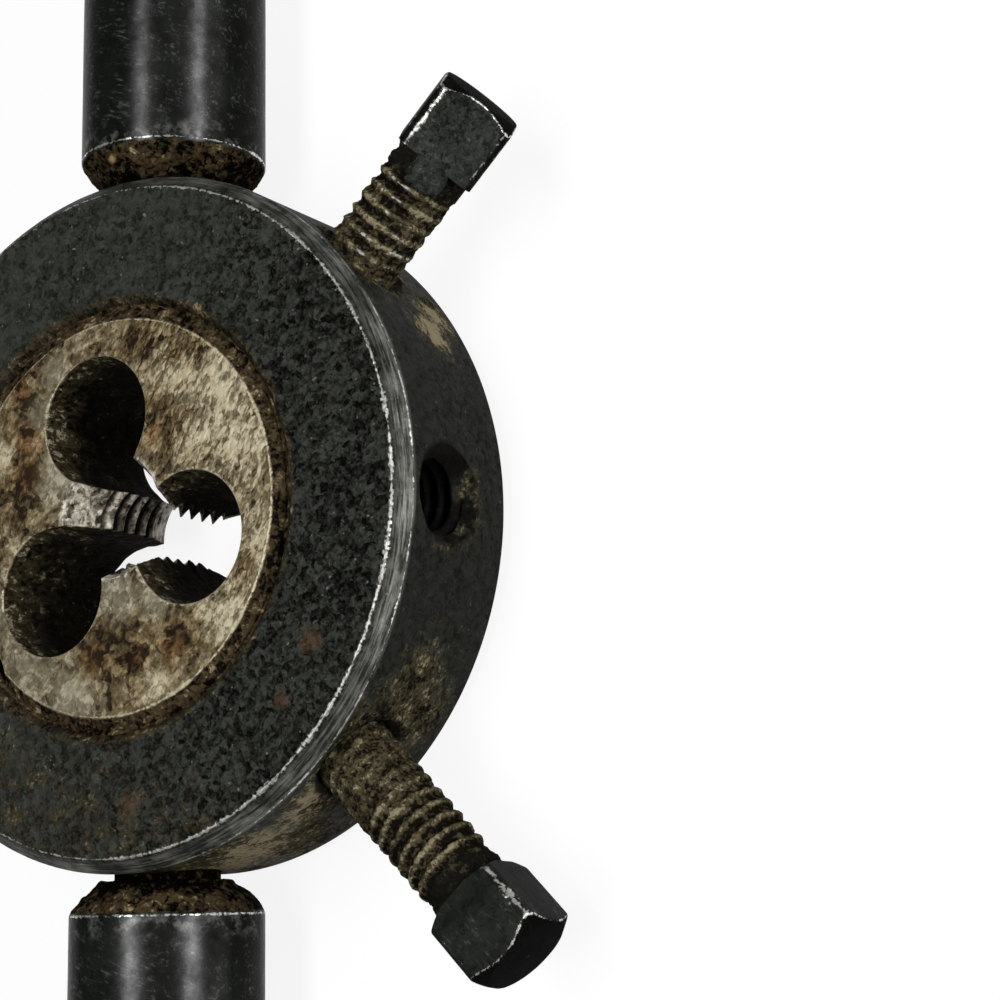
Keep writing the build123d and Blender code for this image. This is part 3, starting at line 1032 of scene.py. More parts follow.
class DIESTOCK_OT_ring(bpy.types.Operator):
    """Builds the stock ring with its tapped holes, and the crust round the die"""
    bl_idname = "diestock.ring"
    bl_label = "Stock ring"

    def execute(self, context):
        ring, screw = context.scene.die_stock_ring, context.scene.die_stock_screw
        finish = context.scene.die_stock_finish
        material = blued_ring_material(finish)
        profile = ring_outline(ring)
        faces = grid_faces(len(profile), ring.columns, close_rows=True)
        piece = new_piece("ring_body", lathe(profile, ring.columns), faces, material)
        cutters = [
            hole_cutter(ring, screw, screw.clocking + turn * screw.spread, threaded=turn == 0)
            for turn in (-1, 0, 1)
        ]
        cutters += [neck_cutter(ring, side * TURN / 4) for side in SIDES.values()]
        cut(piece, cutters)
        piece.data.shade_smooth()
        dress_ring(piece, ring, screw)
        piece.data.set_sharp_from_angle(angle=np.radians(42))
        settle(piece, "stock", "blued_steel", "stock_ring")
        self.pocket_crust(ring, finish)
        return {"FINISHED"}

    def pocket_crust(self, ring, finish):
        """Rust and dirt packed between the die and the ring."""
        angle = np.arange(CRUST_ROWS) * TURN / CRUST_ROWS
        middle = (DIE_HIGH.x + ring.pocket_radius) / 2 + 0.12 * MM
        low = ring.front - 0.62 * MM
        profile = np.stack((middle + 0.34 * MM * np.cos(angle), low + 0.2 * MM * np.sin(angle)), -1)
        points = lathe(profile, CRUST_COLUMNS)
        faces = grid_faces(CRUST_ROWS, CRUST_COLUMNS, close_rows=True)
        piece = new_piece("pocket_crust", points, faces, crust_material(finish))
        shift = rough(points, 0.5 * MM, 21) * 0.11 * MM + rough(points, 2.0 * MM, 27) * 0.1 * MM
        shift_points(piece.data, shift)
        settle(piece, "stock", "blued_steel")


# --- the die ---

DIE_RUST = [
    (-7.6, 10.2, 5.5, 2.6), (-7.1, 6.8, 5.5, 2.0), (-6.7, 2.8, 5.5, 1.8), (3.5, 5.2, 5.5, 1.9),
    (0.8, -8.0, 5.5, 2.2), (3.7, -7.4, 5.5, 1.9), (5.3, -7.2, 5.5, 1.6), (-1.1, -8.5, 5.5, 1.6),
    (2.1, 10.5, 5.5, 1.8), (5.4, 9.2, 5.5, 1.5), (9.9, -3.6, 5.5, 1.4),
]
DIE_RED = [
    (-6.6, 3.2, 5.5, 1.3), (-6.4, 5.2, 5.5, 1.3), (-7.4, 8.6, 5.5, 1.1), (-1.1, -8.4, 5.5, 1.4),
    (4.9, -8.0, 5.5, 1.2), (2.2, -8.6, 5.5, 0.8), (3.2, 4.6, 5.5, 0.8),
]
DIE_CLEAN = [
    (-4.2, 3.0, 5.5, 1.6), (-6.2, -8.3, 5.5, 2.2), (-2.8, -10.2, 5.5, 1.8), (3.6, -5.0, 5.5, 1.2),
    (0.7, -4.9, 5.5, 1.3), (-5.7, 7.0, 5.5, 0.9), (-4.6, 9.3, 5.5, 0.9), (-9.0, -5.0, 5.5, 1.6),
]
DIE_BRIGHT = [
    (7.8, 6.4, 5.5, 2.4), (4.7, 7.7, 5.5, 1.8), (9.6, 3.3, 5.5, 1.8), (6.8, 4.2, 5.5, 1.4),
    (10.4, -3.2, 5.5, 1.6), (8.8, -6.6, 5.5, 1.7), (-8.8, 4.8, 5.5, 1.2), (3.4, -10.2, 5.5, 1.0),
]
LOBE, RAKE, LAND, OUTSIDE = range(4)
RAKE_POINTS, LOBE_POINTS, LAND_POINTS = 14, 70, 34
RIM_POINTS, NOTCH_POINTS = 420, 60
WALL_ROWS, EDGE_ROUND = 132, 0.09 * MM
FACE_SPACING, BACK_SPACING, FACE_SEED = 0.26 * MM, 0.7 * MM, 4


def land_radius(die, angle, height):
    """How far the thread on the lands stands from the axis, with both tapers."""
    turn = (height - DIE_LOW.z) / die.pitch - angle / TURN
    thread = die.core_radius + (die.crest_radius - die.core_radius) * (1 - thread_height(turn + 0.5))
    return np.maximum(thread, land_floor(die, height))


def land_floor(die, height):
    """Radius of the crests of the thread on the lands, with both tapers."""
    lead = (die.lead_in_radius - die.core_radius) / die.lead_in_depth
    run = (die.run_out_radius - die.core_radius) / die.run_out_depth
    lead_in = die.lead_in_radius - (DIE_HIGH.z - height) * lead
    run_out = die.run_out_radius - (height - DIE_LOW.z) * run
    return np.maximum(die.core_radius, np.maximum(lead_in, run_out))


def shares(count):
    """Even shares from 0 up to 1, without the last."""
    return np.linspace(0, 1, count)[:-1]


def opening_loop(die, height):
    """The closed outline of the die's opening at one height, with a label for each point.

    Each clearance hole gives a radial cutting face, its own circle and then the land that the
    circle cuts back behind the cutting edge of the next hole.
    """
    apart = TURN / die.lobe_count
    half = np.arcsin(die.lobe_radius / die.lobe_distance)
    tangent = np.sqrt(die.lobe_distance ** 2 - die.lobe_radius ** 2)
    points, labels = [], []
    for number in range(die.lobe_count):
        middle = die.lobe_clocking + number * apart
        centre = around_z(die.lobe_distance, middle, 0)
        rake = middle - half
        start = land_radius(die, rake, height)
        face = around_z(start + (tangent - start) * shares(RAKE_POINTS), rake, 0)
        heel = middle + 0.4
        for _ in range(6):
            reach = land_radius(die, heel, height)
            cosine = (reach ** 2 + die.lobe_distance ** 2 - die.lobe_radius ** 2)
            cosine = cosine / (2 * reach * die.lobe_distance)
            heel = middle + np.arccos(np.clip(cosine, -1, 1))
        first = rake - TURN / 4
        last_point = around_z(reach, heel, 0) - centre
        sweep = (np.arctan2(last_point[1], last_point[0]) - first) % TURN
        hole = centre + around_z(die.lobe_radius, first + sweep * shares(LOBE_POINTS), 0)
        turn = heel + (rake + apart - heel) * shares(LAND_POINTS)
        land = around_z(land_radius(die, turn, height), turn, 0)
        points += [face, hole, land]
        labels += [np.full(len(face), RAKE), np.full(len(hole), LOBE), np.full(len(land), LAND)]
    return np.vstack(points)[:, :2], np.concatenate(labels)


def loop_normals(loop):
    """Directions pointing out of a closed loop's inside, into the metal."""
    along = np.roll(loop, -1, axis=0) - np.roll(loop, 1, axis=0)
    along = along / np.maximum(np.linalg.norm(along, axis=1, keepdims=True), 1e-9)
    out = np.stack((along[:, 1], -along[:, 0]), -1)
    for _ in range(2):
        out = out + 0.5 * (np.roll(out, 1, axis=0) + np.roll(out, -1, axis=0))
        out = out / np.linalg.norm(out, axis=1, keepdims=True)
    return out


def rim_loop(die, radius):
    """The outer outline of the die at one height, with the groove in its rim."""
    notch = (die.lobe_clocking + TURN / die.lobe_count) % TURN
    distance = die.radius + die.notch_offset
    span = np.radians(8)
    wide = notch + span + shares(RIM_POINTS) * (TURN - 2 * span)
    fine = notch - span + shares(NOTCH_POINTS) * 2 * span
    angle = np.concatenate((wide, fine))
    aside = (angle - notch + np.pi) % TURN - np.pi
    inside = die.notch_radius ** 2 - (distance * np.sin(aside)) ** 2
    reach = distance * np.cos(aside) - np.sqrt(np.maximum(inside, 0))
    groove = np.where((inside > 0) & (np.abs(aside) < 1), reach, 1.0)
    return around_z(lower_of(radius, groove, 0.1 * MM), angle, 0)[:, :2]


def flat_faces(inner, outer, spacing, seed):
    """Points and triangles that fill the flat face between two loops."""
    reach = np.max(np.abs(outer))
    steps = np.arange(-reach, reach, spacing)
    grid = np.stack(np.meshgrid(steps, steps), -1).reshape(-1, 2)
    generator = np.random.default_rng(seed)
    grid = grid + generator.uniform(-0.3, 0.3, grid.shape) * spacing
    keep = inside_loop(grid, outer) & ~inside_loop(grid, inner)
    for loop in (inner, outer):
        for part in np.array_split(loop, 12):
            gap = np.linalg.norm(grid[:, None] - part[None], axis=2).min(axis=1)
            keep &= gap > 0.6 * spacing
    loose = grid[keep]
    points = np.vstack((inner, outer, loose))
    edges = []
    base = 0
    for loop in (inner, outer):
        count = len(loop)
        edges += [(base + n, base + (n + 1) % count) for n in range(count)]
        base += count
    flat = [Vector(p) for p in points]
    found, _, triangles, origin, _, _ = delaunay_2d_cdt(flat, edges, [], 1, 1e-9)
    place = np.array([tuple(p) for p in found])
    triangles = np.array(triangles)
    middle = place[triangles].mean(axis=1)
    triangles = triangles[inside_loop(middle, outer) & ~inside_loop(middle, inner)]
    source = np.array([o[0] if o else -1 for o in origin])
    if len(place) != len(points) or (source < 0).any():
        raise RuntimeError("the flat face of the die did not triangulate cleanly")
    return loose, source[triangles]


def inside_loop(points, loop):
    """Whether each point lies inside a closed loop."""
    inside = np.zeros(len(points), bool)
    ahead = np.roll(loop, -1, axis=0)
    for (x1, y1), (x2, y2) in zip(loop, ahead):
        if y1 == y2:
            continue
        crosses = (points[:, 1] > y1) != (points[:, 1] > y2)
        at = x1 + (points[:, 1] - y1) * (x2 - x1) / (y2 - y1)
        inside ^= crosses & (points[:, 0] < at)
    return inside


def wall_loops(die):
    """Loops of the walls of the die's opening from the back up, and a label for each point."""
    low, high = DIE_LOW.z + EDGE_ROUND, DIE_HIGH.z - EDGE_ROUND
    rounding = np.linspace(0, np.pi / 2, 5)[1:]
    sunk, spread = EDGE_ROUND * np.sin(rounding), EDGE_ROUND * (1 - np.cos(rounding))
    rows = [(low - down, push) for down, push in zip(sunk[::-1], spread[::-1])]
    rows += [(height, 0.0) for height in np.linspace(low, high, WALL_ROWS)]
    rows += [(high + up, push) for up, push in zip(sunk, spread)]
    loops, labels = [], []
    for height, push in rows:
        loop, label = opening_loop(die, np.clip(height, low, high))
        loop = loop + loop_normals(loop) * push
        loops.append(np.column_stack((loop, np.full(len(loop), height))))
        labels.append(label)
    return loops, np.concatenate(labels)


def rim_loops(die):
    """Loops of the die's rim from the back up, with its bevels and the groove."""
    top, bottom = DIE_HIGH.z, DIE_LOW.z
    small = die.radius - die.bevel_width
    section = outline([
        (small - 0.3 * MM, bottom, 0.0, 0.2 * MM),
        (small, bottom, EDGE_ROUND, 0.2 * MM),
        (die.radius, bottom + die.bevel_height, EDGE_ROUND, 0.5 * MM),
        (die.radius, top - die.bevel_height, EDGE_ROUND, 0.12 * MM),
        (small, top, EDGE_ROUND, 0.07 * MM),
        (small - 0.4 * MM, top, 0.0, 0.2 * MM),
    ], closed=False)
    loops = []
    for radius, height in section:
        loop = rim_loop(die, radius)
        loops.append(np.column_stack((loop, np.full(len(loop), height))))
    return loops


def die_mesh(die):
    """All points, faces and labels of the die."""
    walls, wall_label = wall_loops(die)
    rims = rim_loops(die)
    inner, outer = np.vstack(walls), np.vstack(rims)
    points = [inner, outer]
    faces = np.array(grid_faces(len(walls), len(walls[0])))[:, ::-1].tolist()
    faces += (np.array(grid_faces(len(rims), len(rims[0]))) + len(inner)).tolist()
    base = len(inner) + len(outer)
    last_wall, last_rim = len(inner) - len(walls[0]), base - len(rims[0])
    ends = (
        (walls[-1], last_wall, rims[-1], last_rim, DIE_HIGH.z, FACE_SPACING, 1),
        (walls[0], 0, rims[0], len(inner), DIE_LOW.z, BACK_SPACING, -1),
    )
    for hole, hole_at, rim, rim_at, height, spacing, way in ends:
        loose, triangles = flat_faces(hole[:, :2], rim[:, :2], spacing, FACE_SEED)
        points.append(np.column_stack((loose, np.full(len(loose), height))))
        number = np.concatenate((
            hole_at + np.arange(len(hole)), rim_at + np.arange(len(rim)),
            base + np.arange(len(loose)),
        ))
        faces += number[triangles][:, ::way].tolist()
        base += len(loose)
    label = np.concatenate((wall_label, np.full(base - len(inner), OUTSIDE)))
    return np.vstack(points), faces, label


def dress_die(piece, die, label):
    """Wears the die and marks its lands, crusted walls and rusty patches."""
    mesh = piece.data
    points = read(mesh)
    radius = np.hypot(points[:, 0], points[:, 1])
    depth = DIE_HIGH.z - points[:, 2]
    wall = (label <= RAKE) * smooth(depth, 0.02 * MM, 0.2 * MM)
    land = (label == LAND) * 1.0
    small = die.radius - die.bevel_width
    angle = np.arctan2(points[:, 1], points[:, 0])
    lower_right = smooth(np.cos(angle + 0.5), -0.3, 0.85)
    rim_edge = fading(np.hypot(radius - small, depth), 0.09 * MM) * (label == OUTSIDE)
    hole_edge = (label <= LAND) * bell(depth - 0.04 * MM, 0.06 * MM)
    rim = smooth(radius, small + 0.02 * MM, small + 0.14 * MM) * (label == OUTSIDE)
    clean, polished = near(points, DIE_CLEAN), near(points, DIE_BRIGHT)
    patches = near(points, DIE_RUST) - 0.8 * clean - 0.5 * polished
    lower_left = smooth(-np.cos(angle - 0.6), -0.1, 0.9)
    stroked = 0.3 + 0.6 * smooth(points[:, 0] + 0.4 * points[:, 1], 0.0, 9 * MM)
    rust = np.clip(0.3 + 0.75 * patches + 0.2 * lower_left, 0, 1) * (1 - land)
    # deep grows with depth in the clearance holes; the material paints them darker there as shade.
    deep = smooth(depth, 0.3 * MM, 3.5 * MM)
    reach = np.maximum(radius - land_floor(die, points[:, 2]), 0)
    # groove marks the thread grooves of the lands, which the material paints dark as shade.
    groove = land * smooth(reach, 0.08 * MM, 0.3 * MM)
    paint(
        mesh, wall=wall, land=land, rim=rim, groove=groove, rust=rust, clean=clean,
        polished=polished, deep=deep, stroked=stroked,
        red=near(points, DIE_RED) * (label == OUTSIDE), edge=np.maximum(rim_edge, 0.85 * hole_edge),
        rubbed=0.2 + 0.3 * lower_right)
    crust = rough(points, 0.6 * MM, 31) * 0.09 * MM * wall
    pits = rough(points, 0.8 * MM, 35) * 0.012 * MM * (label == OUTSIDE)
    shift_points(mesh, crust + pits)


class DIESTOCK_OT_die(bpy.types.Operator):
    """Builds the round threading die with its threaded lands"""
    bl_idname = "diestock.die"
    bl_label = "Threading die"

    def execute(self, context):
        die, finish = context.scene.die_stock_die, context.scene.die_stock_finish
        points, faces, label = die_mesh(die)
        piece = new_piece("die_body", points, faces, die_material(finish))
        dress_die(piece, die, label)
        piece.data.set_sharp_from_angle(angle=np.radians(50))
        settle(piece, "stock", "die_steel", "threading_die")
        return {"FINISHED"}


# --- the handles ---

SHOULDER_CHUNKS = [(-0.6, 22.35, 4.9, 0.42), (-1.7, 22.4, 4.65, 0.24), (-0.2, 22.1, 4.7, 0.2)]


def handle_outline(handle):
    """Section of a handle, from the tip of its neck to its free end."""
    bend = []
    rise = handle.radius - handle.foot_radius
    run = handle.shoulder_end - handle.shoulder_start
    for share in np.linspace(0, 1, 26):
        turn = share * TURN / 4
        across, along = (np.array((np.sin(turn), 1 - np.cos(turn))) + share) / 2
        bend.append((handle.foot_radius + rise * across, handle.shoulder_start + run * along))
    neck = outline([
        (0.2 * MM, handle.neck_start, 0.0, 1.0 * MM),
        (handle.neck_radius, handle.neck_start, 0.0, 1.2 * MM),
        (handle.neck_radius, 19.0 * MM, 0.0, 0.08 * MM),
        (handle.neck_radius, handle.shoulder_start, 0.0, 0.1 * MM),
        (handle.foot_radius, handle.shoulder_start, 0.0, 0.1 * MM),
    ], closed=False)
    grip = outline([
        (handle.radius, handle.shoulder_end + 0.05 * MM, 0.0, 0.12 * MM),
        (handle.radius, handle.shoulder_end + 2.0 * MM, 0.0, 0.3 * MM),
        (handle.radius, 52 * MM, 0.0, 0.9 * MM),
        (handle.radius, handle.reach, handle.end_round, 0.6 * MM),
        (0.2 * MM, handle.reach, 0.0, 0.6 * MM),
    ], closed=False)
    return np.vstack((neck[:-1], bend, grip))


class DIESTOCK_OT_handles(bpy.types.Operator):
    """Builds both handles with their shoulders and crusted necks"""
    bl_idname = "diestock.handles"
    bl_label = "Handles"

    def execute(self, context):
        handle, finish = context.scene.die_stock_handle, context.scene.die_stock_finish
        material = handle_material(finish)
        profile = handle_outline(handle)
        rows = capped_points(lathe(profile, handle.columns))
        faces = capped_faces(len(profile), handle.columns)
        for side, way in SIDES.items():
            points = stand(rows, way * TURN / 4)
            piece = new_piece(side + "_handle_bar", points, faces, material)
            self.dress(piece, handle, way)
            settle(piece, "stock", "handle_steel", side + "_handle")
        return {"FINISHED"}

    def dress(self, piece, handle, way):
        """Crusts the neck and shoulder and marks the rim that has rubbed bright."""
        mesh = piece.data
        points = read(mesh)
        along = np.abs(points[:, 1])
        radius = np.hypot(points[:, 0], points[:, 2])
        rust = 1 - smooth(along, handle.shoulder_end - 0.6 * MM, handle.shoulder_end + 0.15 * MM)
        rim = fading(along - handle.shoulder_end - 0.02 * MM, 0.07 * MM)
        rim = rim * (radius > handle.radius - 0.3 * MM)
        far = bell(along - handle.reach + handle.end_round, 0.5 * MM)
        scuffed = bell(along - handle.shoulder_end - 0.4 * MM, 0.7 * MM)
        paint(
            mesh, rust=rust, edge=np.maximum(rim, 0.5 * far), rubbed=np.full(len(points), 0.42),
            scuffed=scuffed * (1 - rust), chunk=smooth(near(points, SHOULDER_CHUNKS), 0.4, 0.6),
            neck=1 - smooth(along, 21.2 * MM, 22.1 * MM))
        crust = rough(points, 0.6 * MM, 41 + way) * 0.2 * MM * rust
        crust = crust + 0.22 * MM * bell(along - handle.shoulder_start, 0.35 * MM)
        free = smooth(along, 20.9 * MM, 21.3 * MM)
        wave = rough(points, 5 * MM, 47 + way) * 0.012 * MM
        shift_points(mesh, crust * free + wave * free)


# --- the set screws ---

SCREW_COLUMNS = 240
SCREW_MASKS = ("edge", "thread", "crest", "end", "neck")
NECK_STEP, PLAIN_NECK, CROWN_RISE = 0.22 * MM, 1.7 * MM, 0.1 * MM


def screw_rows(screw):
    """Heights of the rows of a set screw from its tip to the end of its head, with their kinds."""
    cone = screw.thread_radius - screw.point_radius
    fine = screw.pitch / 14
    tip = [(0.0, "tip", share) for share in (0.15, 0.6, 1.0)]
    point = [(h, "point", 0) for h in np.linspace(0.1 * MM, cone, 10)[:-1]]
    shank = [(h, "shank", 0) for h in np.arange(cone, screw.shank - 0.04 * MM, fine)]
    foot = [(screw.shank, "foot", share) for share in (0.0, 0.5)]
    steps = np.concatenate((
        np.linspace(0, 0.6 * MM, 9), np.linspace(0.6 * MM, screw.head_height - 0.8 * MM, 24)[1:-1],
        np.linspace(screw.head_height - 0.8 * MM, screw.head_height, 13),
    ))
    head = [(screw.shank + s, "head", s) for s in steps]
    crown = [(screw.shank + screw.head_height, "crown", share) for share in np.linspace(0.96, 0.06, 14)]
    return tip + point + shank + foot + head + crown


def head_section(screw, aside):
    """How far the square head stands from its axis, with rubbed corners."""
    flat = screw.head_width / 2
    one = flat / np.maximum(np.abs(np.cos(aside)), 1e-3)
    other = flat / np.maximum(np.abs(np.sin(aside)), 1e-3)
    walls = lower_of(one, other, 0.16 * MM)
    return lower_of(walls, screw.corner_radius, 0.2 * MM)


def worn_tongue(screw, height, aside):
    """Where one flat of the head runs on down into the first threads, from 0 to 1."""
    swing = (aside + np.pi) % TURN - np.pi
    side = screw.head_width / 2 * np.tan(np.clip(swing, -1.2, 1.2)) / MM
    torn = rough(np.stack((side, 0 * side + height / MM, 0 * side), -1), 0.5, 3)
    across = smooth(side + 0.3 * torn, -1.3, -1.15) * smooth(0.35 * torn - side, -1.35, -1.1)
    end = screw.shank - (1.7 - 0.25 * side ** 2 + 0.5 * torn) * MM
    return across * smooth(height, end, end + 0.14 * MM)


def corner_wear(screw, aside, tongue):
    """Bright lines beside the corners of the head, and the rounded corners themselves, painted dark as
    shade.
    """
    arc = TURN / 8 - np.arccos(screw.head_width / 2 / screw.corner_radius)
    from_corner = np.abs((4 * aside / TURN) % 1 - 0.5) * TURN / 4
    front = (aside + TURN / 8 - arc * tongue + np.pi) % TURN - np.pi
    lines = np.maximum(0.5 * fading(from_corner - arc, 0.04), fading(front, 0.05 if tongue else 0.07))
    return lines, smooth(arc - from_corner, -0.01, 0.04) * (0.85 if tongue else 0.2)


def shank_row(screw, height, around, aside, tongue):
    """Radius and masks of one row of the thread and of the plain neck above it."""
    neck = screw.thread_radius - NECK_STEP
    fade = smooth(screw.shank - height, PLAIN_NECK - 0.7 * MM, PLAIN_NECK + 0.2 * MM)
    swing = np.abs((height / screw.pitch - around / TURN) % 1 - 0.5) * 2
    rise = np.clip((swing - 0.12) / 0.8, 0, 1)
    rise = rise * smooth(height, 1.2 * MM, 2.2 * MM) * fade
    cut_thread = screw.thread_radius - screw.groove_depth * (1 - rise)
    radius = np.minimum(neck + (cut_thread - neck) * fade, screw.point_radius + height)
    cover = worn_tongue(screw, height, aside) if tongue else 0
    radius = radius + np.maximum(head_section(screw, aside) - radius, 0) * cover
    return radius, {
        "edge": 2.6 * cover * (1 - cover), "thread": 1.0 - cover, "crest": rise * (1 - cover),
        "neck": (1 - fade) * (1 - cover),
    }


def head_row(screw, up, aside, tongue):
    """Radius and masks of one row of the square head, this far up from its foot."""
    slope = np.tan(screw.crown_slope)
    section = head_section(screw, aside)
    crown = screw.crown_radius + (screw.head_height - up) / slope
    foot = (screw.corner_radius if tongue else screw.foot_radius) + 0.1 * MM + up / slope
    radius = lower_of(lower_of(section, crown, 0.14 * MM), foot, 0.1 * MM)
    lines, rounded = corner_wear(screw, aside, tongue)
    lines = lines * smooth(crown - section, -0.1 * MM, 0.05 * MM)
    foot_edge = 0.35 * fading(foot - section, 0.07 * MM) * (not tongue)
    lines = np.maximum(lines, np.maximum(fading(crown - section, 0.1 * MM), foot_edge))
    # end marks the crown and the rounded corners, which the material paints dark as shade.
    return radius, {
        "edge": lines, "end": np.maximum(smooth(section - crown, 0.0, 0.1 * MM), rounded),
    }


def screw_mesh(screw, turn, tongue):
    """Points, faces and masks of one set screw made round Z, tip at the origin."""
    around = np.arange(SCREW_COLUMNS) * TURN / SCREW_COLUMNS
    aside = around - turn
    section = head_section(screw, aside)
    neck = screw.thread_radius - NECK_STEP
    rows = screw_rows(screw)
    points, masks = [], []
    for height, kind, value in rows:
        lift, marks = height, {}
        if kind == "tip":
            radius = screw.point_radius * value
        elif kind == "point":
            radius = screw.point_radius + height
        elif kind == "shank":
            radius, marks = shank_row(screw, height, around, aside, tongue)
        elif kind == "foot":
            foot = screw.corner_radius if tongue else screw.foot_radius
            radius = neck + (np.minimum(section, foot) - neck) * value
            if tongue:
                radius = radius + (section - radius) * worn_tongue(screw, height, aside)
        elif kind == "head":
            radius, marks = head_row(screw, value, aside, tongue)
            last_head = radius
        else:
            radius = last_head * value
            lift = height + CROWN_RISE * (1 - value ** 2)
            # The crown is marked end, which the material paints dark as shade.
            marks = {"end": 1.0}
        points.append(around_z(radius, around, lift))
        masks.append([np.broadcast_to(marks.get(name, 0.0), SCREW_COLUMNS) for name in SCREW_MASKS])
    ends = np.array(((0, 0, 0), (0, 0, screw.shank + screw.head_height + CROWN_RISE)))
    points = np.vstack((*points, ends))
    masks = [np.append(np.concatenate(mask), (0, 0)) for mask in zip(*masks)]
    return points, capped_faces(len(rows), SCREW_COLUMNS), masks


def dress_screw(screw, points, masks, turn, way):
    """Wears a set screw and packs its thread with dirt, and names its masks."""
    edge, thread, crest, end, dark = masks
    upper = way > 0
    across = np.hypot(points[:, 0], points[:, 1])
    outward = points[:, :2] / np.maximum(across, 1e-9)[:, None]
    crusted = thread * smooth(points[:, 2], 1.5 * MM, 2.5 * MM)
    low_part = smooth(-points[:, 2], -10.5 * MM, -8.0 * MM)
    fill = rough(points, 0.5 * MM, 51 + way)
    aside = np.arctan2(points[:, 1], points[:, 0]) - turn
    filled = 0.3 + 0.4 * smooth(np.sin(aside), 0.1, 0.9) * upper
    packing = np.clip(0.8 * fill + filled + 0.55 * low_part, 0, 0.9) * (1 - crest) * screw.groove_depth
    chipping = np.clip(rough(points, 0.4 * MM, 59 + way), 0, 1) * crest * -0.2 * MM
    lumps = rough(points, 0.35 * MM, 55 + way) * (0.045 + 0.03 * low_part) * MM
    dent = np.minimum(rough(points, 0.8 * MM, 57 + way) * edge * -0.05 * MM, 0)
    points[:, :2] += outward * ((packing + chipping + lumps) * crusted + dent)[:, None]
    over = np.hypot(points[:, 0], points[:, 1]) / (screw.thread_radius + 0.03 * MM)
    points[:, :2] /= np.where(thread > 0.5, np.maximum(over, 1), 1)[:, None]
    flecks = smooth(rough(points, 1.1 * MM, 61), 0.0, 0.45) * smooth(crest, 0.72, 0.95)
    flecks = flecks * (0.85 if upper else 0.6) * (1 - 0.6 * low_part)
    # Partly painted light and shade: the crest term makes the ridges paler and the grooves darker, and
    # the upper screw a little paler, over the real dirt packing.
    level = 0.44 * smooth(crest, 0.35, 0.85) - 0.25 + 0.3 * fill + 0.12 * rough(points, 1.6 * MM, 63)
    level = level * (1 - 0.7 * low_part) + 0.03 - 0.25 * dark + 0.04 * upper
    # worn is 1 on the upper screw and 0.1 on the lower: partly wear, partly painted light that makes
    # the upper head lighter.
    worn = np.full(len(points), 1.0 if upper else 0.1)
    return {
        "edge": np.maximum(edge, flecks), "thread": thread, "end": end, "neck": dark, "worn": worn,
        "packing": (level - LEAST_PACKING) / (MOST_PACKING - LEAST_PACKING),
        "rubbed": 0.3 + 0.25 * worn - 0.15 * thread,
    }


class DIESTOCK_OT_screws(bpy.types.Operator):
    """Builds both set screws with their threads and square heads"""
    bl_idname = "diestock.screws"
    bl_label = "Set screws"

    def execute(self, context):
        screw = context.scene.die_stock_screw
        material = screw_material(context.scene.die_stock_finish)
        turns = {"upper": screw.upper_turn, "lower": screw.lower_turn}
        tips = {"upper": screw.upper_tip, "lower": screw.lower_tip}
        for side, way in SIDES.items():
            points, faces, masks = screw_mesh(screw, turns[side], side == "upper")
            masks = dress_screw(screw, points, masks, turns[side], way)
            points = points + np.array((0, 0, tips[side]))
            points = stand(points, screw.clocking + way * screw.spread, screw.height)
            piece = new_piece(side + "_screw_body", points, faces, material)
            paint(piece.data, **masks)
            piece.data.set_sharp_from_angle(angle=np.radians(60))
            settle(piece, side + "_screw", "screw_steel", side + "_set_screw")
        return {"FINISHED"}


# --- the stage ---

FLOOR_REACH = 1.5
CAMERA_RIGHT = (0.85713, -0.02017, -0.51471)
CAMERA_UP = (0.11289, 0.98229, 0.14951)
CAMERA_BACK = (0.50258, -0.18625, 0.84423)


def area_lamp(name, place, width, height, watts):
    """A soft rectangular lamp that looks at the middle of the ring."""
    light = bpy.data.lights.new(name, "AREA")
    light.shape = "RECTANGLE"
    light.size, light.size_y = width, height
    light.energy = watts
    lamp = new_object(name, light)
    lamp.location = place
    lamp.rotation_euler = (-Vector(place)).to_track_quat("-Z", "Y").to_euler()


def floor_material(stage):
    """A white floor that still takes a soft shadow."""
    material = bpy.data.materials.new("studio_floor")
    material.use_nodes = True
    sh = Shader(material.node_tree)
    sh.nodes.clear()
    output = sh.add("ShaderNodeOutputMaterial")
    path = sh.add("ShaderNodeLightPath")
    seen = sh.larger(path.outputs["Is Camera Ray"], path.outputs["Is Glossy Ray"])
    seen = sh.larger(seen, path.outputs["Is Transmission Ray"])
    strength = sh.times(seen, stage.floor_glow)
    glow = sh.add("ShaderNodeEmission", Strength=strength, Color=(1, 1, 1, 1))
    matt = sh.add("ShaderNodeBsdfDiffuse", Color=(stage.floor_grey,) * 3 + (1,))
    both = sh.listed("ShaderNodeAddShader", glow.outputs[0], matt.outputs[0])
    sh.give(output, Surface=both.outputs[0])
    return material


def studio_world(stage):
    """Plain light from all round, white where the camera sees past the floor."""
    world = bpy.data.worlds.new("studio")
    bpy.context.scene.world = world
    world.use_nodes = True
    sh = Shader(world.node_tree)
    path = sh.add("ShaderNodeLightPath")
    light = sh.between(path.outputs["Is Camera Ray"], 0.0, 1.0, stage.world_light, 1.0)
    sh.give(sh.nodes["Background"], Color=(1, 1, 1, 1), Strength=light)


def main_camera(stage):
    """The camera, at its place and turned along its own axes."""
    data = bpy.data.cameras.new("camera")
    data.sensor_width = 36
    data.lens = stage.lens
    data.clip_start = 0.005
    data.clip_end = 10
    camera = new_object("camera", data)
    turn = Matrix((CAMERA_RIGHT, CAMERA_UP, CAMERA_BACK)).transposed().to_4x4()
    camera.matrix_world = Matrix.Translation(stage.camera_place) @ turn
    return camera


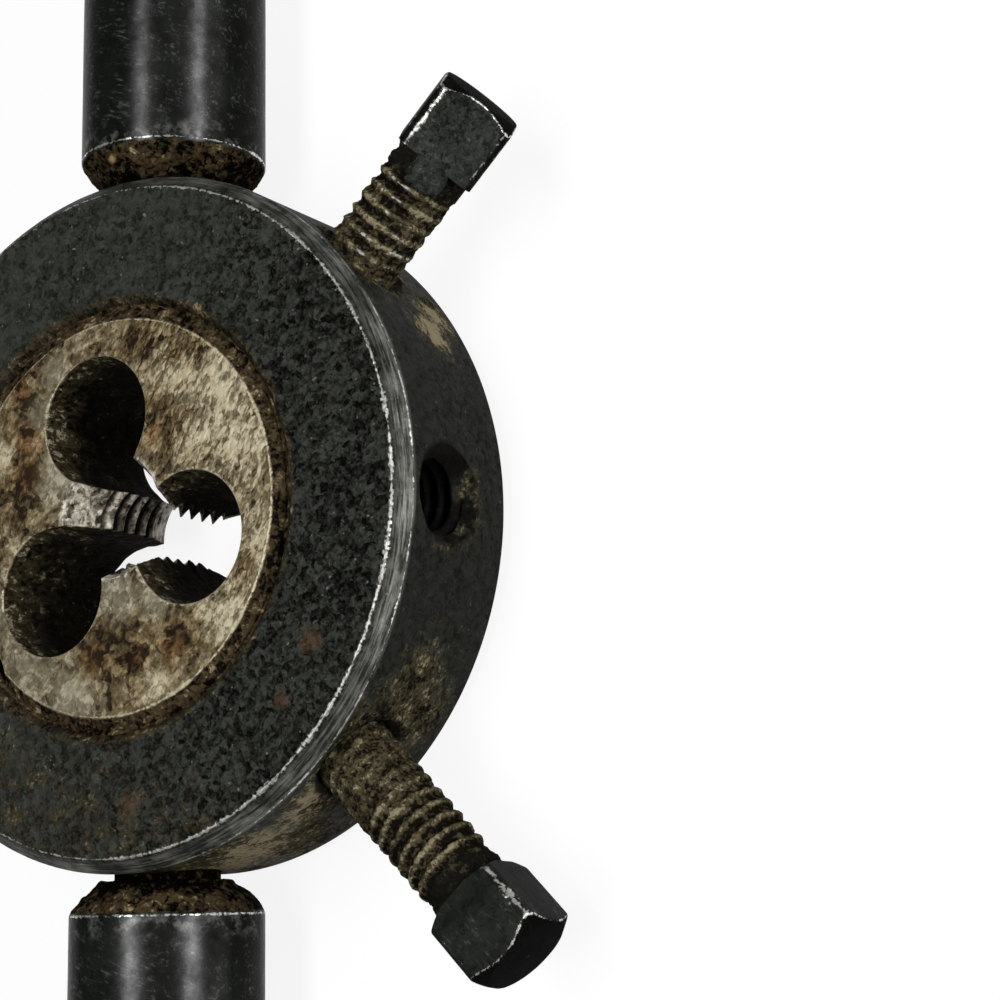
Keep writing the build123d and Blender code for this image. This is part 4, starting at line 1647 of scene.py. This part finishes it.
class DIESTOCK_OT_stage(bpy.types.Operator):
    """Sets the floor, the soft lamps and the camera"""
    bl_idname = "diestock.stage"
    bl_label = "Stage"

    def execute(self, context):
        stage = context.scene.die_stock_stage
        floor_height = CAD_LOW.z - 0.02 * MM
        corners = [
            (FLOOR_REACH * x, FLOOR_REACH * y, floor_height)
            for x, y in ((-1, -1), (1, -1), (1, 1), (-1, 1))
        ]
        floor = new_piece("floor", corners, [(0, 1, 2, 3)], floor_material(stage))
        studio_world(stage)
        area_lamp("side_window", (0.50, -0.02, 0.20), 0.62, 0.12, 2.2)
        area_lamp("overhead_window", (-0.03, 0.0, 0.60), 0.62, 0.14, 2.3)
        context.scene.camera = main_camera(stage)
        context.scene.view_settings.view_transform = "Standard"
        return {"FINISHED"}


class DIESTOCK_PT_panel(bpy.types.Panel):
    """Lists the pieces of the die stock and their settings"""
    bl_idname = "DIESTOCK_PT_panel"
    bl_label = "Die stock"
    bl_space_type = "VIEW_3D"
    bl_region_type = "UI"
    bl_category = "Die stock"

    def draw(self, context):
        for operator in OPERATORS:
            self.layout.operator(operator.bl_idname)
        for name, settings in SETTINGS.items():
            box = self.layout.box()
            box.label(text=settings.__doc__)
            group = getattr(context.scene, name)
            for key in settings.__annotations__:
                box.prop(group, key)


OPERATORS = (
    DIESTOCK_OT_ring, DIESTOCK_OT_die, DIESTOCK_OT_handles, DIESTOCK_OT_screws, DIESTOCK_OT_stage,
)
SETTINGS = {
    "die_stock_ring": RingSettings,
    "die_stock_die": DieSettings,
    "die_stock_handle": HandleSettings,
    "die_stock_screw": ScrewSettings,
    "die_stock_finish": FinishSettings,
    "die_stock_stage": StageSettings,
}


def register():
    """Adds the settings, the operators and the panel."""
    for settings in SETTINGS.values():
        bpy.utils.register_class(settings)
    for name, settings in SETTINGS.items():
        setattr(bpy.types.Scene, name, PointerProperty(type=settings))
    for item in (*OPERATORS, DIESTOCK_PT_panel):
        bpy.utils.register_class(item)


def unregister():
    """Takes the settings, the operators and the panel away again."""
    for item in (DIESTOCK_PT_panel, *reversed(OPERATORS)):
        bpy.utils.unregister_class(item)
    for name, settings in SETTINGS.items():
        delattr(bpy.types.Scene, name)
        bpy.utils.unregister_class(settings)


def main():
    """Builds the whole die stock and its stage."""
    register()
    bpy.ops.diestock.ring()
    bpy.ops.diestock.die()
    bpy.ops.diestock.handles()
    bpy.ops.diestock.screws()
    bpy.ops.diestock.stage()


if __name__ == "__main__":
    main()
